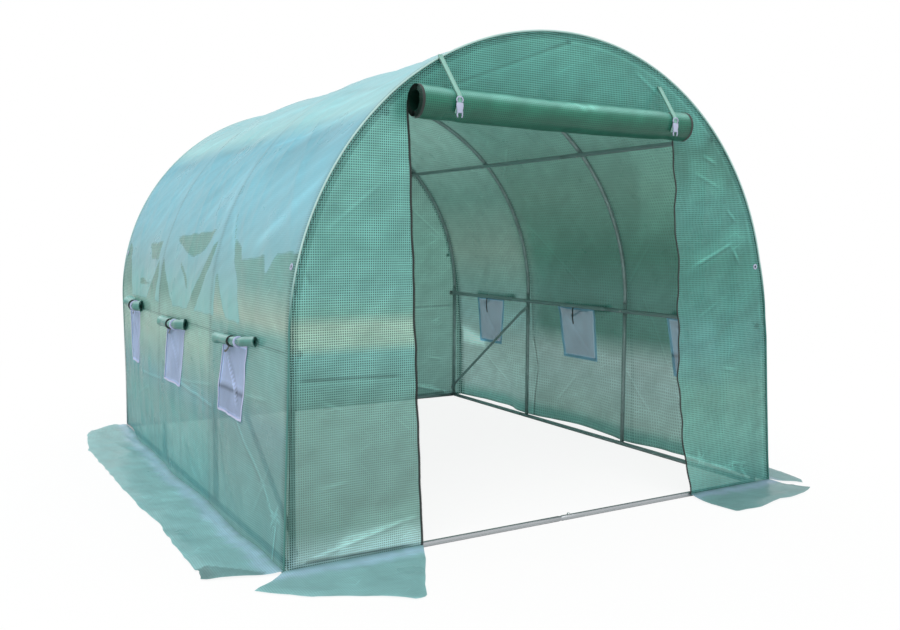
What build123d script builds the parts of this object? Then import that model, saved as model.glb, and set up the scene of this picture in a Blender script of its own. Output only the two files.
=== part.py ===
"""Walk-in polytunnel greenhouse: a bolted frame of steel tube under a reinforced cover.

Millimetres, +Z up. The origin is on the ground, under the centre of the tunnel.
X runs across the tunnel, -Y is the front with the doorway, +Y is the closed back.
"""
import os
from math import acos, atan2, cos, degrees, hypot, radians, sin

from build123d import *

os.makedirs("parts", exist_ok=True)

# Overall sizes
HOOP_WIDTH = 2060  # across a hoop, between the centre lines of its legs
TUNNEL_LENGTH = 2475  # front hoop to back hoop, between centre lines
LEG_HEIGHT = 715  # ground to the joint between a leg and its arch
HOOP_COUNT = 4

# Frame tubes
TUBE_DIAMETER = 20
TUBE_WALL = 1
TUBE_SIDES = 8  # flats around every frame tube, one corner towards the cover
SPIGOT_LENGTH = 50  # reduced tube end that enters the next tube
FIT_CLEARANCE = 0.3  # radial gap round a spigot, and the gap between seated round tubes
JOINT_GROOVE = 4  # width of the reduced band that shows at the joint of a ground rail
UPPER_PURLIN_ANGLE = 45  # degrees up the arch from its spring line
MID_PURLIN_HEIGHT = 680
CAP_THICKNESS = 4
BRACE_DIAMETER = 16
BRACE_END_THICKNESS = 3
BRACE_END_WIDTH = 20
BRACE_END_LENGTH = 20  # flat stretch from the bolt to the taper
BRACE_TAPER_LENGTH = 40
BRACE_BOLT_DIAMETER = 6.5
BRACE_TOP_HEIGHT = 640
BRACE_FOOT_HEIGHT = 58

# Cover
COVER_THICKNESS = 3
SIDE_SKIRT_WIDTH = 235
BACK_SKIRT_WIDTH = 370
DOOR_HEIGHT = 1470
DOOR_HEAD = (-642, 508)  # X of the doorway's two edges at its full height
DOOR_FOOT = (-585, 640)  # and on the ground: the zipped edges hang a little askew
ZIP_WIDTH = 12
# Outer edge of each front skirt, from the doorway round to the corner: how far along the sheet
# (0 at the doorway, 1 at the corner) and how far in front of it.
FRONT_SKIRT_EDGES = {
    "left": [(0.31, 283), (0.39, 366), (0.47, 370), (0.69, 284), (1.03, 209), (1.31, 81), (1.18, 0)],
    "right": [(0.02, 124), (0.06, 234), (0.37, 243), (0.75, 202), (0.88, 214), (1.16, 193),
              (1.40, 143), (1.26, 79), (1.30, 0)],
}

# Windows
WINDOW_WIDTH = 270
WINDOW_HEIGHT = 255
WINDOW_TOP = 658
WINDOW_PLACES = {"left": (512, 1348, 2156), "right": (365, 1206, 2080)}  # middles, from the front hoop
NET_THICKNESS = 2
NET_LAP = 15  # sewn lap of a net round its window
FLAP_ROLL_DIAMETER = 44
FLAP_ROLL_LENGTH = 470
FLAP_ROLL_SIDES = 12

# Door, rolled up over the doorway
DOOR_ROLL_DIAMETER = 110
DOOR_ROLL_LENGTH = 1160
DOOR_ROLL_SHIFT = -78
DOOR_ROLL_HEIGHT = 1458
STRAP_SPACING = 920
STRAP_SHIFT = -55
STRAP_WIDTH = 18
STRAP_THICKNESS = 2
STRAP_TOP_HEIGHT = 1600
STRAP_WRAP = 290  # degrees round the roll where the strap ends, behind and below it
BUCKLE_WIDTH = 26
BUCKLE_HEIGHT = 58
BUCKLE_THICKNESS = 8
BUCKLE_DROP = 8  # buckle centre below the centre of the roll

# Worked out from the sizes above
SIDES = {"left": -1, "right": 1}
hoop_radius = HOOP_WIDTH / 2
tube_radius = TUBE_DIAMETER / 2
bore_radius = tube_radius - TUBE_WALL
spigot_radius = bore_radius - FIT_CLEARANCE
bay_length = TUNNEL_LENGTH / (HOOP_COUNT - 1)
front = -TUNNEL_LENGTH / 2
hoop_places = [front + bay_length * i for i in range(HOOP_COUNT)]
frame_end = TUNNEL_LENGTH / 2 + tube_radius  # outer face of the first and last hoop
purlin_radius = hoop_radius - TUBE_DIAMETER - FIT_CLEARANCE
cover_inside = hoop_radius + tube_radius + FIT_CLEARANCE
cover_outside = cover_inside + COVER_THICKNESS
gable_inside = frame_end + FIT_CLEARANCE
gable_outside = gable_inside + COVER_THICKNESS
crown = LEG_HEIGHT + cover_outside  # highest point of the cover


def door_edge(side, z):
    """X of the doorway's left (0) or right (1) edge at a height, carried on above the doorway."""
    return DOOR_FOOT[side] + (DOOR_HEAD[side] - DOOR_FOOT[side]) * z / DOOR_HEIGHT


def save(piece, name):
    """Name one finished piece and write its STEP file."""
    piece.part.label = name
    export_step(piece.part, f"parts/{name}.step")


# ---------------------------------------------------------------- frame


def side_ground_rail(side):
    """Tube along one side, with upright spigots for the legs and level ones for the end rails."""
    x = side * hoop_radius
    with BuildPart() as rail:
        with BuildSketch(Plane((x, -frame_end, tube_radius), z_dir=(0, 1, 0))):
            RegularPolygon(tube_radius, TUBE_SIDES)
        extrude(amount=2 * frame_end)
        for y in hoop_places:
            with BuildSketch(Plane((x, y, tube_radius), z_dir=(0, 0, 1))):
                RegularPolygon(spigot_radius, TUBE_SIDES)
            extrude(amount=tube_radius + SPIGOT_LENGTH)
        for y in (hoop_places[0], hoop_places[-1]):
            with BuildSketch(Plane((x, y, tube_radius), z_dir=(-side, 0, 0))):
                RegularPolygon(spigot_radius, TUBE_SIDES)
            extrude(amount=tube_radius + SPIGOT_LENGTH)
    return rail


def end_ground_rail(y):
    """Rail across one end: two tubes, the reduced end of one pushed into the other."""
    half_length = hoop_radius - tube_radius - FIT_CLEARANCE
    with BuildPart() as rail:
        with BuildSketch(Plane((-half_length, y, tube_radius), z_dir=(1, 0, 0))):
            RegularPolygon(tube_radius, TUBE_SIDES)
            RegularPolygon(bore_radius, TUBE_SIDES, mode=Mode.SUBTRACT)
        extrude(amount=2 * half_length)
        with BuildSketch(Plane((-JOINT_GROOVE / 2, y, tube_radius), z_dir=(1, 0, 0))):
            RegularPolygon(tube_radius, TUBE_SIDES)
            RegularPolygon(tube_radius - TUBE_WALL / 2, TUBE_SIDES, mode=Mode.SUBTRACT)
        extrude(amount=JOINT_GROOVE, mode=Mode.SUBTRACT)
    return rail


def hoop_leg(side, y):
    """Upright tube that slips over a spigot of the ground rail."""
    foot = TUBE_DIAMETER + FIT_CLEARANCE
    with BuildPart() as leg:
        with BuildSketch(Plane((side * hoop_radius, y, foot), z_dir=(0, 0, 1))):
            RegularPolygon(tube_radius, TUBE_SIDES)
            RegularPolygon(bore_radius, TUBE_SIDES, mode=Mode.SUBTRACT)
        extrude(amount=LEG_HEIGHT - foot)
    return leg


def hoop_arch(y):
    """Half-round bent tube whose two reduced ends enter the tops of its legs."""
    with BuildPart() as arch:
        with BuildLine(Plane((0, y, LEG_HEIGHT), x_dir=(1, 0, 0), z_dir=(0, -1, 0))):
            CenterArc((0, 0), hoop_radius, 0, 180)
        with BuildSketch(Plane((hoop_radius, y, LEG_HEIGHT), z_dir=(0, 0, 1))):
            RegularPolygon(tube_radius, TUBE_SIDES)
        sweep()
        for side in SIDES.values():
            with BuildSketch(Plane((side * hoop_radius, y, LEG_HEIGHT), z_dir=(0, 0, -1))):
                RegularPolygon(spigot_radius, TUBE_SIDES)
            extrude(amount=SPIGOT_LENGTH)
    return arch


def purlin(x, z):
    """Tube along the tunnel, bolted inside the hoops."""
    length = 2 * (frame_end - CAP_THICKNESS)
    with BuildPart() as tube:
        with BuildSketch(Plane((x, -length / 2, z), z_dir=(0, 1, 0))):
            RegularPolygon(tube_radius, TUBE_SIDES)
        extrude(amount=length)
    return tube


def brace(side, foot_y, top_y):
    """Slanting tube with both ends pressed flat and drilled, bolted to the inside of two legs."""
    seat = side * (hoop_radius - tube_radius - FIT_CLEARANCE)
    flat_x = seat - side * BRACE_END_THICKNESS / 2
    tube_x = seat - side * BRACE_DIAMETER / 2
    run, rise = top_y - foot_y, BRACE_TOP_HEIGHT - BRACE_FOOT_HEIGHT
    between_bolts = hypot(run, rise)
    along = (0, run / between_bolts, rise / between_bolts)

    def section(x, distance):
        """Plane across the brace, at a distance from its lower bolt."""
        place = (x, foot_y + along[1] * distance, BRACE_FOOT_HEIGHT + along[2] * distance)
        return Plane(place, x_dir=(1, 0, 0), z_dir=along)

    round_start = BRACE_END_LENGTH + BRACE_TAPER_LENGTH
    with BuildPart() as bar:
        with BuildSketch(section(tube_x, round_start)):
            RegularPolygon(BRACE_DIAMETER / 2, TUBE_SIDES, rotation=180 / TUBE_SIDES)
        extrude(amount=between_bolts - 2 * round_start)
        for bolt, inward in ((0, 1), (between_bolts, -1)):
            taper_start = bolt + inward * BRACE_END_LENGTH
            with BuildSketch(section(flat_x, min(bolt, taper_start))):
                Rectangle(BRACE_END_THICKNESS, BRACE_END_WIDTH)
            extrude(amount=BRACE_END_LENGTH)
            with BuildSketch(section(flat_x, taper_start)) as pressed:
                Rectangle(BRACE_END_THICKNESS, BRACE_END_WIDTH)
                chamfer(pressed.vertices(), BRACE_END_THICKNESS / 4)
            with BuildSketch(section(tube_x, bolt + inward * round_start)):
                RegularPolygon(BRACE_DIAMETER / 2, TUBE_SIDES, rotation=180 / TUBE_SIDES)
            loft(ruled=True)
            tip = Plane(section(flat_x, bolt).origin, x_dir=(0, 1, 0), z_dir=(1, 0, 0))
            with BuildSketch(tip):
                Circle(BRACE_END_WIDTH / 2)
            extrude(amount=BRACE_END_THICKNESS / 2, both=True)
            with BuildSketch(tip):
                Circle(BRACE_BOLT_DIAMETER / 2)
            extrude(amount=BRACE_END_THICKNESS, both=True, mode=Mode.SUBTRACT)
    return bar


# Where the purlins run, as (x, z) of their centre lines
purlin_places = {"ridge_purlin": (0, LEG_HEIGHT + purlin_radius)}
for side_name, side in SIDES.items():
    purlin_places[f"{side_name}_upper_purlin"] = (
        side * purlin_radius * cos(radians(UPPER_PURLIN_ANGLE)),
        LEG_HEIGHT + purlin_radius * sin(radians(UPPER_PURLIN_ANGLE)),
    )
    purlin_places[f"{side_name}_mid_purlin"] = (side * purlin_radius, MID_PURLIN_HEIGHT)

for number, place in enumerate(hoop_places, 1):
    save(hoop_arch(place), f"hoop_{number}_arch")
    for side_name, side in SIDES.items():
        save(hoop_leg(side, place), f"hoop_{number}_{side_name}_leg")

for side_name, side in SIDES.items():
    save(side_ground_rail(side), f"{side_name}_ground_rail")
save(end_ground_rail(hoop_places[0]), "front_ground_rail")
save(end_ground_rail(hoop_places[-1]), "back_ground_rail")

for purlin_name, (purlin_x, purlin_z) in purlin_places.items():
    save(purlin(purlin_x, purlin_z), purlin_name)

save(brace(SIDES["left"], hoop_places[0], hoop_places[1]), "left_brace")
save(brace(SIDES["right"], hoop_places[3], hoop_places[2]), "right_brace")

with BuildPart() as purlin_end_caps:
    for end in (-1, 1):
        inner_face = end * (frame_end - CAP_THICKNESS)
        for purlin_x, purlin_z in purlin_places.values():
            with BuildSketch(Plane((purlin_x, inner_face, purlin_z), z_dir=(0, end, 0))):
                RegularPolygon(tube_radius, TUBE_SIDES)
            extrude(amount=CAP_THICKNESS)
save(purlin_end_caps, "purlin_end_caps")

# ---------------------------------------------------------------- cover


def window_places(side_name):
    """Centres of the windows of one side, along the tunnel."""
    return [front + place for place in WINDOW_PLACES[side_name]]


def wall_cover(side_name):
    """Upright lower part of the cover, with the three windows cut through it."""
    side = SIDES[side_name]
    with BuildPart() as wall:
        with BuildSketch(Plane((side * cover_inside, 0, 0), x_dir=(0, 1, 0), z_dir=(side, 0, 0))) as face:
            up = face.workplanes[0].y_dir.Z  # +1 or -1: which way the sketch's own Y points
            with Locations((0, up * LEG_HEIGHT / 2)):
                Rectangle(2 * gable_inside, LEG_HEIGHT)
            with Locations(*[(y, up * (WINDOW_TOP - WINDOW_HEIGHT / 2)) for y in window_places(side_name)]):
                Rectangle(WINDOW_WIDTH, WINDOW_HEIGHT, mode=Mode.SUBTRACT)
        extrude(amount=COVER_THICKNESS)
    return wall


def gable_panel(inner_face, end, corners):
    """One sheet of a gable: the part of its outline between four corners, from its inner face outwards."""
    with BuildPart() as panel:
        with BuildSketch(Plane((0, inner_face, 0), x_dir=(1, 0, 0), z_dir=(0, -1, 0))):
            with BuildLine():
                Line((-cover_outside, 0), (-cover_outside, LEG_HEIGHT))
                ThreePointArc((-cover_outside, LEG_HEIGHT), (0, crown), (cover_outside, LEG_HEIGHT))
                Line((cover_outside, LEG_HEIGHT), (cover_outside, 0))
                Line((cover_outside, 0), (-cover_outside, 0))
            make_face()
            Polygon(*corners, align=None, mode=Mode.INTERSECT)
        extrude(amount=-end * COVER_THICKNESS)
    return panel


def skirt(x_from, x_to, y_from, y_to):
    """Flat strip of the cover that lies on the ground outside the walls."""
    with BuildPart() as strip:
        with BuildSketch():
            with Locations(((x_from + x_to) / 2, (y_from + y_to) / 2)):
                Rectangle(x_to - x_from, y_to - y_from)
        extrude(amount=COVER_THICKNESS)
    return strip


with BuildPart() as roof_cover:
    with BuildSketch(Plane((0, gable_inside, LEG_HEIGHT), x_dir=(1, 0, 0), z_dir=(0, -1, 0))):
        Circle(cover_outside)
        Circle(cover_inside, mode=Mode.SUBTRACT)
        with Locations((0, -cover_outside)):
            Rectangle(2 * cover_outside, 2 * cover_outside, mode=Mode.SUBTRACT)
    extrude(amount=2 * gable_inside)
save(roof_cover, "roof_cover")

for side_name in SIDES:
    save(wall_cover(side_name), f"{side_name}_wall_cover")

left_foot, left_head, left_crown = [(door_edge(0, z), z) for z in (0, DOOR_HEIGHT, crown)]
right_foot, right_head, right_crown = [(door_edge(1, z), z) for z in (0, DOOR_HEIGHT, crown)]
left_corners = [(-cover_outside, 0), left_foot, left_crown, (-cover_outside, crown)]
right_corners = [right_foot, (cover_outside, 0), (cover_outside, crown), right_crown]
all_corners = [(-cover_outside, 0), (cover_outside, 0), (cover_outside, crown), (-cover_outside, crown)]
save(gable_panel(-gable_inside, -1, left_corners), "front_left_panel")
save(gable_panel(-gable_inside, -1, right_corners), "front_right_panel")
save(gable_panel(-gable_inside, -1, [left_head, right_head, right_crown, left_crown]), "front_top_panel")
save(gable_panel(gable_inside, 1, all_corners), "back_wall_cover")

skirt_side = cover_outside + SIDE_SKIRT_WIDTH
skirt_end = gable_outside + BACK_SKIRT_WIDTH
save(skirt(-skirt_side, -cover_outside, -gable_outside, gable_outside), "left_skirt")
save(skirt(cover_outside, skirt_side, -gable_outside, gable_outside), "right_skirt")
save(skirt(-cover_outside, cover_outside, gable_outside, skirt_end), "back_skirt")


def front_skirt(side_name):
    """Strip of the cover that lies in front of one side of the doorway, with an uneven outer edge."""
    foot_x = DOOR_FOOT[0] if side_name == "left" else DOOR_FOOT[1]
    corner_x = SIDES[side_name] * cover_outside
    outer = [(foot_x + (corner_x - foot_x) * share, -gable_outside - reach)
             for share, reach in FRONT_SKIRT_EDGES[side_name]]
    with BuildPart() as strip:
        with BuildSketch():
            Polygon((foot_x, -gable_outside), *outer, align=None)
        extrude(amount=COVER_THICKNESS)
    return strip


for side_name in SIDES:
    save(front_skirt(side_name), f"front_{side_name}_skirt")

# ---------------------------------------------------------------- windows


def window_nets(side_name):
    """Insect nets sewn inside the three windows of one side."""
    side = SIDES[side_name]
    net_middle = side * (cover_inside - FIT_CLEARANCE - NET_THICKNESS / 2)
    window_middle = WINDOW_TOP - WINDOW_HEIGHT / 2
    with BuildPart() as nets:
        with Locations(*[(net_middle, y, window_middle) for y in window_places(side_name)]):
            Box(NET_THICKNESS, WINDOW_WIDTH + 2 * NET_LAP, WINDOW_HEIGHT + 2 * NET_LAP)
    return nets


def flap_rolls(side_name):
    """Window flaps of one side, each rolled up above its window."""
    side = SIDES[side_name]
    roll_radius = FLAP_ROLL_DIAMETER / 2
    x = side * (cover_outside + FIT_CLEARANCE + roll_radius)
    z = WINDOW_TOP + roll_radius
    last_start = gable_outside - FLAP_ROLL_LENGTH
    with BuildPart() as rolls:
        for y in window_places(side_name):
            start = min(y - FLAP_ROLL_LENGTH / 2, last_start)
            with BuildSketch(Plane((x, start, z), z_dir=(0, 1, 0))):
                RegularPolygon(roll_radius, FLAP_ROLL_SIDES)
            extrude(amount=FLAP_ROLL_LENGTH)
    return rolls


for side_name in SIDES:
    save(window_nets(side_name), f"{side_name}_window_nets")
    save(flap_rolls(side_name), f"{side_name}_flap_rolls")

# ---------------------------------------------------------------- door

door_roll_radius = DOOR_ROLL_DIAMETER / 2
door_roll_y = -gable_outside - FIT_CLEARANCE - door_roll_radius
roll_start = DOOR_ROLL_SHIFT - DOOR_ROLL_LENGTH / 2

with BuildPart() as door_roll:
    with BuildSketch(Plane((roll_start, door_roll_y, DOOR_ROLL_HEIGHT), z_dir=(1, 0, 0))):
        Circle(door_roll_radius)
    extrude(amount=DOOR_ROLL_LENGTH)
save(door_roll, "door_roll")

# A strap leaves the gable seam, meets the roll at a tangent and wraps under it.
# Angles are round the roll, from +Y towards +Z.
strap_inside = door_roll_radius + FIT_CLEARANCE
strap_top_y = -gable_outside - FIT_CLEARANCE
strap_top_angle = degrees(atan2(STRAP_TOP_HEIGHT - DOOR_ROLL_HEIGHT, strap_top_y - door_roll_y))
strap_top_reach = hypot(STRAP_TOP_HEIGHT - DOOR_ROLL_HEIGHT, strap_top_y - door_roll_y)
strap_touch = strap_top_angle + degrees(acos(strap_inside / strap_top_reach))
strap_places = [STRAP_SHIFT + end * STRAP_SPACING / 2 for end in (-1, 1)]

with BuildPart() as door_roll_straps:
    for strap_x in strap_places:
        strap_plane = Plane(
            (strap_x - STRAP_WIDTH / 2, door_roll_y, DOOR_ROLL_HEIGHT),
            x_dir=(0, 1, 0),
            z_dir=(1, 0, 0),
        )
        with BuildSketch(strap_plane):
            with BuildLine():
                wrap = CenterArc((0, 0), strap_inside, strap_touch, STRAP_WRAP - strap_touch)
                top = (strap_top_y - door_roll_y, STRAP_TOP_HEIGHT - DOOR_ROLL_HEIGHT)
                Line(top, wrap @ 0)
                offset(amount=STRAP_THICKNESS, side=Side.RIGHT)
            make_face()
        extrude(amount=STRAP_WIDTH)
save(door_roll_straps, "door_roll_straps")

buckle_y = door_roll_y - strap_inside - STRAP_THICKNESS - FIT_CLEARANCE - BUCKLE_THICKNESS / 2
with BuildPart() as strap_buckles:
    with Locations(*[(x, buckle_y, DOOR_ROLL_HEIGHT - BUCKLE_DROP) for x in strap_places]):
        Box(BUCKLE_WIDTH, BUCKLE_THICKNESS, BUCKLE_HEIGHT)
    fillet(strap_buckles.edges().filter_by(Axis.Y), BUCKLE_WIDTH / 5)
save(strap_buckles, "strap_buckles")


def door_zip(side):
    """Zip tape down the left (0) or right (1) edge of the doorway."""
    inward = ZIP_WIDTH if side == 0 else -ZIP_WIDTH
    foot, head = (DOOR_FOOT[side], 0), (DOOR_HEAD[side], DOOR_HEIGHT)
    with BuildPart() as tape:
        with BuildSketch(Plane((0, -gable_inside, 0), x_dir=(1, 0, 0), z_dir=(0, -1, 0))):
            Polygon(foot, (foot[0] + inward, 0), (head[0] + inward, DOOR_HEIGHT), head, align=None)
        extrude(amount=COVER_THICKNESS)
    return tape


save(door_zip(0), "left_door_zip")
save(door_zip(1), "right_door_zip")
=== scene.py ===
"""Looks of the walk-in polytunnel: round steel tubes, reinforced cover, nets, rolls, straps and zips.

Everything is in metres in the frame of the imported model: -Y is the front with the doorway, +Z is up.
"""
from functools import partial
from math import atan2, ceil, cos, hypot, pi, radians, sin, tau

import bpy
import numpy as np
from bpy.props import FloatProperty, FloatVectorProperty, IntProperty, PointerProperty
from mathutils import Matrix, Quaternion, Vector


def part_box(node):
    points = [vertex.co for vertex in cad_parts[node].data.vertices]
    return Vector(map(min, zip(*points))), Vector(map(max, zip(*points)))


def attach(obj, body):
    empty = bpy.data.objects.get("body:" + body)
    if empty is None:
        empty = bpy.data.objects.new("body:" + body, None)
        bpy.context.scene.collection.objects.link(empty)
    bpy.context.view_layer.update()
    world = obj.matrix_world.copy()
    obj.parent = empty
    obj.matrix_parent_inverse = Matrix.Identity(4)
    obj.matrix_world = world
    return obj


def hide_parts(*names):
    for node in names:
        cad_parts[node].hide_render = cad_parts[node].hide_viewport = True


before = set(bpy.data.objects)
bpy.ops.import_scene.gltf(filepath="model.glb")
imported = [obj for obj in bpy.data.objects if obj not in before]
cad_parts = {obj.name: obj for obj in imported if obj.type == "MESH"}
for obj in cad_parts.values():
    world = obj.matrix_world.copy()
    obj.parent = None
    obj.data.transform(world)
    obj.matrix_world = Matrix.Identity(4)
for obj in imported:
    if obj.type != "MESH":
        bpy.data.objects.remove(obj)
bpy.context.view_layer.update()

bl_info = {
    "name": "Polytunnel looks",
    "version": (1, 0, 0),
    "blender": (4, 5, 0),
    "location": "View3D > Sidebar > Polytunnel",
    "description": "Builds the tubes, cover, nets, rolls and trim of a walk-in polytunnel round its CAD frame",
    "category": "Add Mesh",
}

MM = 0.001
UP = np.array([0.0, 0.0, 1.0])
ALONG = np.array([0.0, 1.0, 0.0])
ACROSS = np.array([1.0, 0.0, 0.0])

# ---- sizes taken from the frame


def low(node, axis):
    """Lowest coordinate of a CAD node along an axis (0, 1 or 2)."""
    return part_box(node)[0][axis]


def high(node, axis):
    """Highest coordinate of a CAD node along an axis (0, 1 or 2)."""
    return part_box(node)[1][axis]


def middle(node, axis):
    """Middle of a CAD node along an axis."""
    return (low(node, axis) + high(node, axis)) / 2


def stretches(node, axis):
    """(low, high) along an axis of each separate solid of a CAD node, told apart by gaps over 50 mm."""
    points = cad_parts[node].data.vertices
    places = np.unique(np.round([v.co[axis] for v in points], 5))
    starts = np.concatenate([[0], np.nonzero(np.diff(places) > 0.05)[0] + 1, [len(places)]])
    runs = [places[a:b] for a, b in zip(starts[:-1], starts[1:])]
    if all(len(run) == 1 for run in runs):  # solids with points at their two ends only
        return list(zip(places[0::2], places[1::2]))
    return [(run[0], run[-1]) for run in runs]


HOOP_NUMBERS = (1, 2, 3, 4)
SIDES = {"left": -1, "right": 1}
HOOP_Y = [middle(f"hoop_{n}_right_leg", 1) for n in HOOP_NUMBERS]
END_Y = {-1: HOOP_Y[0], 1: HOOP_Y[-1]}  # hoop of the front (-1) and of the back gable (1)
HOOP_RADIUS = middle("hoop_1_right_leg", 0)
TUBE_RADIUS = (high("hoop_1_right_leg", 0) - low("hoop_1_right_leg", 0)) / 2
SPRING = high("left_wall_cover", 2)  # height where the upright wall turns into the arch
ARCH_LENGTH = pi * HOOP_RADIUS
COVER_LENGTH = 2 * SPRING + ARCH_LENGTH  # hoop line from the left foot over to the right
COVER_OUT = high("roof_cover", 0)
COVER_MIDDLE = (COVER_OUT + low("right_wall_cover", 0)) / 2
FILM_LIFT = COVER_MIDDLE - HOOP_RADIUS  # film to the centre line of the tube it lies on
SEAM_LIFT = FILM_LIFT * sin(pi / 4)  # seams lie at 45 degrees round the end hoops
SEAM_RADIUS = HOOP_RADIUS + SEAM_LIFT
GABLE_OUT = low("front_left_panel", 1)
GABLE_IN = high("front_left_panel", 1)
GABLE_Y = (GABLE_OUT + GABLE_IN) / 2
GABLE_FRONT = HOOP_Y[0] - FILM_LIFT  # plane of the front gable's film
BACK_Y = middle("back_wall_cover", 1)
DOOR_TOP = low("front_top_panel", 2)
NET_HEIGHTS = (low("left_window_nets", 2), high("left_window_nets", 2))
NET_STRETCHES = {side: stretches(f"{side}_window_nets", 1) for side in SIDES}
ROLL_STRETCHES = {side: stretches(f"{side}_flap_rolls", 1) for side in SIDES}
FLAP_ROLL_RADIUS = (high("left_flap_rolls", 2) - low("left_flap_rolls", 2)) / 2
FLAP_ROLL_Z = middle("left_flap_rolls", 2)
DOOR_ROLL_RADIUS = (high("door_roll", 2) - low("door_roll", 2)) / 2
DOOR_ROLL_Y = middle("door_roll", 1)
DOOR_ROLL_Z = middle("door_roll", 2)
STRAP_X = [sum(run) / 2 for run in stretches("door_roll_straps", 0)]
STRAP_TOP = high("door_roll_straps", 2)
PURLINS = {name: (middle(name, 0), middle(name, 2)) for name in (
    "ridge_purlin", "left_upper_purlin", "left_mid_purlin", "right_upper_purlin", "right_mid_purlin")}

# ---- colours


def linear(code):
    """sRGB hex colour, such as #7ca79d, as linear RGBA."""
    channels = [int(code[i : i + 2], 16) / 255 for i in (1, 3, 5)]
    return [c / 12.92 if c <= 0.04045 else ((c + 0.055) / 1.055) ** 2.4 for c in channels] + [1.0]


def colour(name, description, code):
    """Colour property with an sRGB hex default."""
    return FloatVectorProperty(
        name=name, description=description, subtype="COLOR", size=4, min=0, max=1, default=linear(code)
    )


def length(name, description, millimetres):
    """Length property with a default in millimetres."""
    return FloatProperty(
        name=name, description=description, unit="LENGTH", default=millimetres * MM, min=0, precision=4
    )


# ---- settings


class FrameSettings(bpy.types.PropertyGroup):
    steel_colour: colour("Zinc", "Galvanised tube", "#a3b0b1")
    cap_colour: colour("End caps", "Black caps on the purlin ends", "#121514")
    bolt_colour: colour("Bolts", "Zinc plated bolts and nuts", "#c3c8c8")
    swage_length: length("Swage", "Reduced band that shows where one tube enters the next", 14)
    swage_depth: length("Swage depth", "How far a reduced tube end steps in", 1.2)
    bolt_radius: length("Bolt head radius", "Half the width of a domed bolt head", 6.5)
    tube_sides: IntProperty(name="Tube sides", description="Faces round a tube", default=20, min=8)


class FilmSettings(bpy.types.PropertyGroup):
    clear_tint: colour("Tint", "Colour that light takes passing through the film", "#93b0a7")
    shadow_colour: colour("Tube seen through", "Film with a steel tube right behind it", "#1f5c56")
    skirt_colour: colour("Skirt film", "Film that lies on the ground", "#88b6b8")
    yarn_pitch: length("Scrim pitch", "Spacing of the reinforcing yarns", 7.5)
    haze_outside: FloatProperty(name="Haze", description="Share of a cell that hides what lies behind",
                                default=0.66)
    haze_inside: FloatProperty(name="Inner haze", description="The same, seen from the dusty inside",
                               default=0.86)
    roof_sag: length("Roof sag", "How far the film dips between hoops on the arch", 12)
    wall_sag: length("Wall sag", "How far the film dips between hoops on the walls", 5)
    drape: length("Drape", "Height of the long soft folds", 7)
    # The piping's pale colour is a painted reflection of the sky on the seam over the arch
    piping_sky_reflection: colour("Piping", "Welted seam between the cover and a gable", "#b4d8d2")
    binding_colour: colour("Binding", "The seam down the upright walls", "#3f8079")
    thread_colour: colour("Thread", "Dark stitches", "#20403a")
    piping_radius: length("Piping radius", "Radius of the welted seam", 3.2)
    stitch_pitch: length("Stitch pitch", "Spacing of the stitches along the seam", 9)


class WindowSettings(bpy.types.PropertyGroup):
    net_colour: colour("Net", "Insect net", "#bacaf0")
    net_inside: colour("Net inside", "Insect net seen from the shaded side", "#80a5ba")
    hem_colour: colour("Tape", "Tape sewn round a net", "#c6cbf0")
    roll_colour: colour("Flap", "Rolled window flap", "#62aaa0")
    sheen_colour: colour("Flap sheen", "Light along the top of a rolled flap", "#b4e0dc")
    tie_colour: colour("Ties", "Dark elastic ties", "#15211f")
    net_lap: length("Net lap", "Net that is sewn beyond the window's edge", 15)
    hem_width: length("Tape width", "Width of the tape round a net", 8)


class DoorSettings(bpy.types.PropertyGroup):
    roll_colour: colour("Rolled door", "Rolled door film", "#2f7c66")
    sheen_colour: colour("Door sheen", "Light along the top of the rolled door", "#84ccbe")
    strap_colour: colour("Straps", "Webbing straps", "#93c9bb")
    buckle_colour: colour("Buckles", "Moulded buckles", "#aeb6cf")
    zip_colour: colour("Zips", "Zip tape and teeth", "#0f1e1b")
    zip_width: length("Zip width", "Width of the zip tape", 7)
    tooth_pitch: length("Zip teeth", "Spacing of the zip teeth", 4)


class StageSettings(bpy.types.PropertyGroup):
    floor_colour: colour("Floor", "Plain floor", "#f9f9f8")
    floor_lift: FloatProperty(name="Floor lift", description="Share of plain white at the object",
                              default=0.88)
    sky_strength: FloatProperty(name="Ambient", description="Strength of the even light", default=0.7)
    sun_strength: FloatProperty(name="Key light", description="Strength of the large soft key", default=1.5)
    sun_spread: FloatProperty(
        name="Key spread", description="Angle that the key light fills", subtype="ANGLE", default=radians(40)
    )
    focal_length: FloatProperty(name="Lens", description="Focal length in millimetres", default=36.24)


GROUPS = {
    "tunnel_frame": FrameSettings,
    "tunnel_film": FilmSettings,
    "tunnel_windows": WindowSettings,
    "tunnel_door": DoorSettings,
    "tunnel_stage": StageSettings,
}

# ---- surfaces


def together(*parts):
    """Coordinates side by side on a last axis, each spread to the shape of all."""
    return np.stack(np.broadcast_arrays(*parts), axis=-1)


def bell(value):
    """Bell curve of height 1: exp(-value squared)."""
    return np.exp(-(value**2))


def grid_faces(rows, columns, wrap=False, keep=None):
    """Four-sided faces of a grid of points; wrap joins the last column to the first."""
    index = np.arange(rows * columns).reshape(rows, columns)
    if wrap:
        index = np.concatenate([index, index[:, :1]], axis=1)
    quads = together(index[:-1, :-1], index[:-1, 1:], index[1:, 1:], index[1:, :-1])
    return quads.reshape(-1, 4) if keep is None else quads[keep]


def ring_faces(points, columns, caps=True):
    """Faces round a row of rings, with a cap on each end ring, all facing outwards."""
    faces = [grid_faces(len(points) // columns, columns, wrap=True)]
    if caps:
        ring = np.arange(columns)
        faces += [ring[::-1][None], (ring + len(points) - columns)[None]]
    return [f[:, ::-1] for f in faces] if volume(points, faces[0]) < 0 else faces


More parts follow.
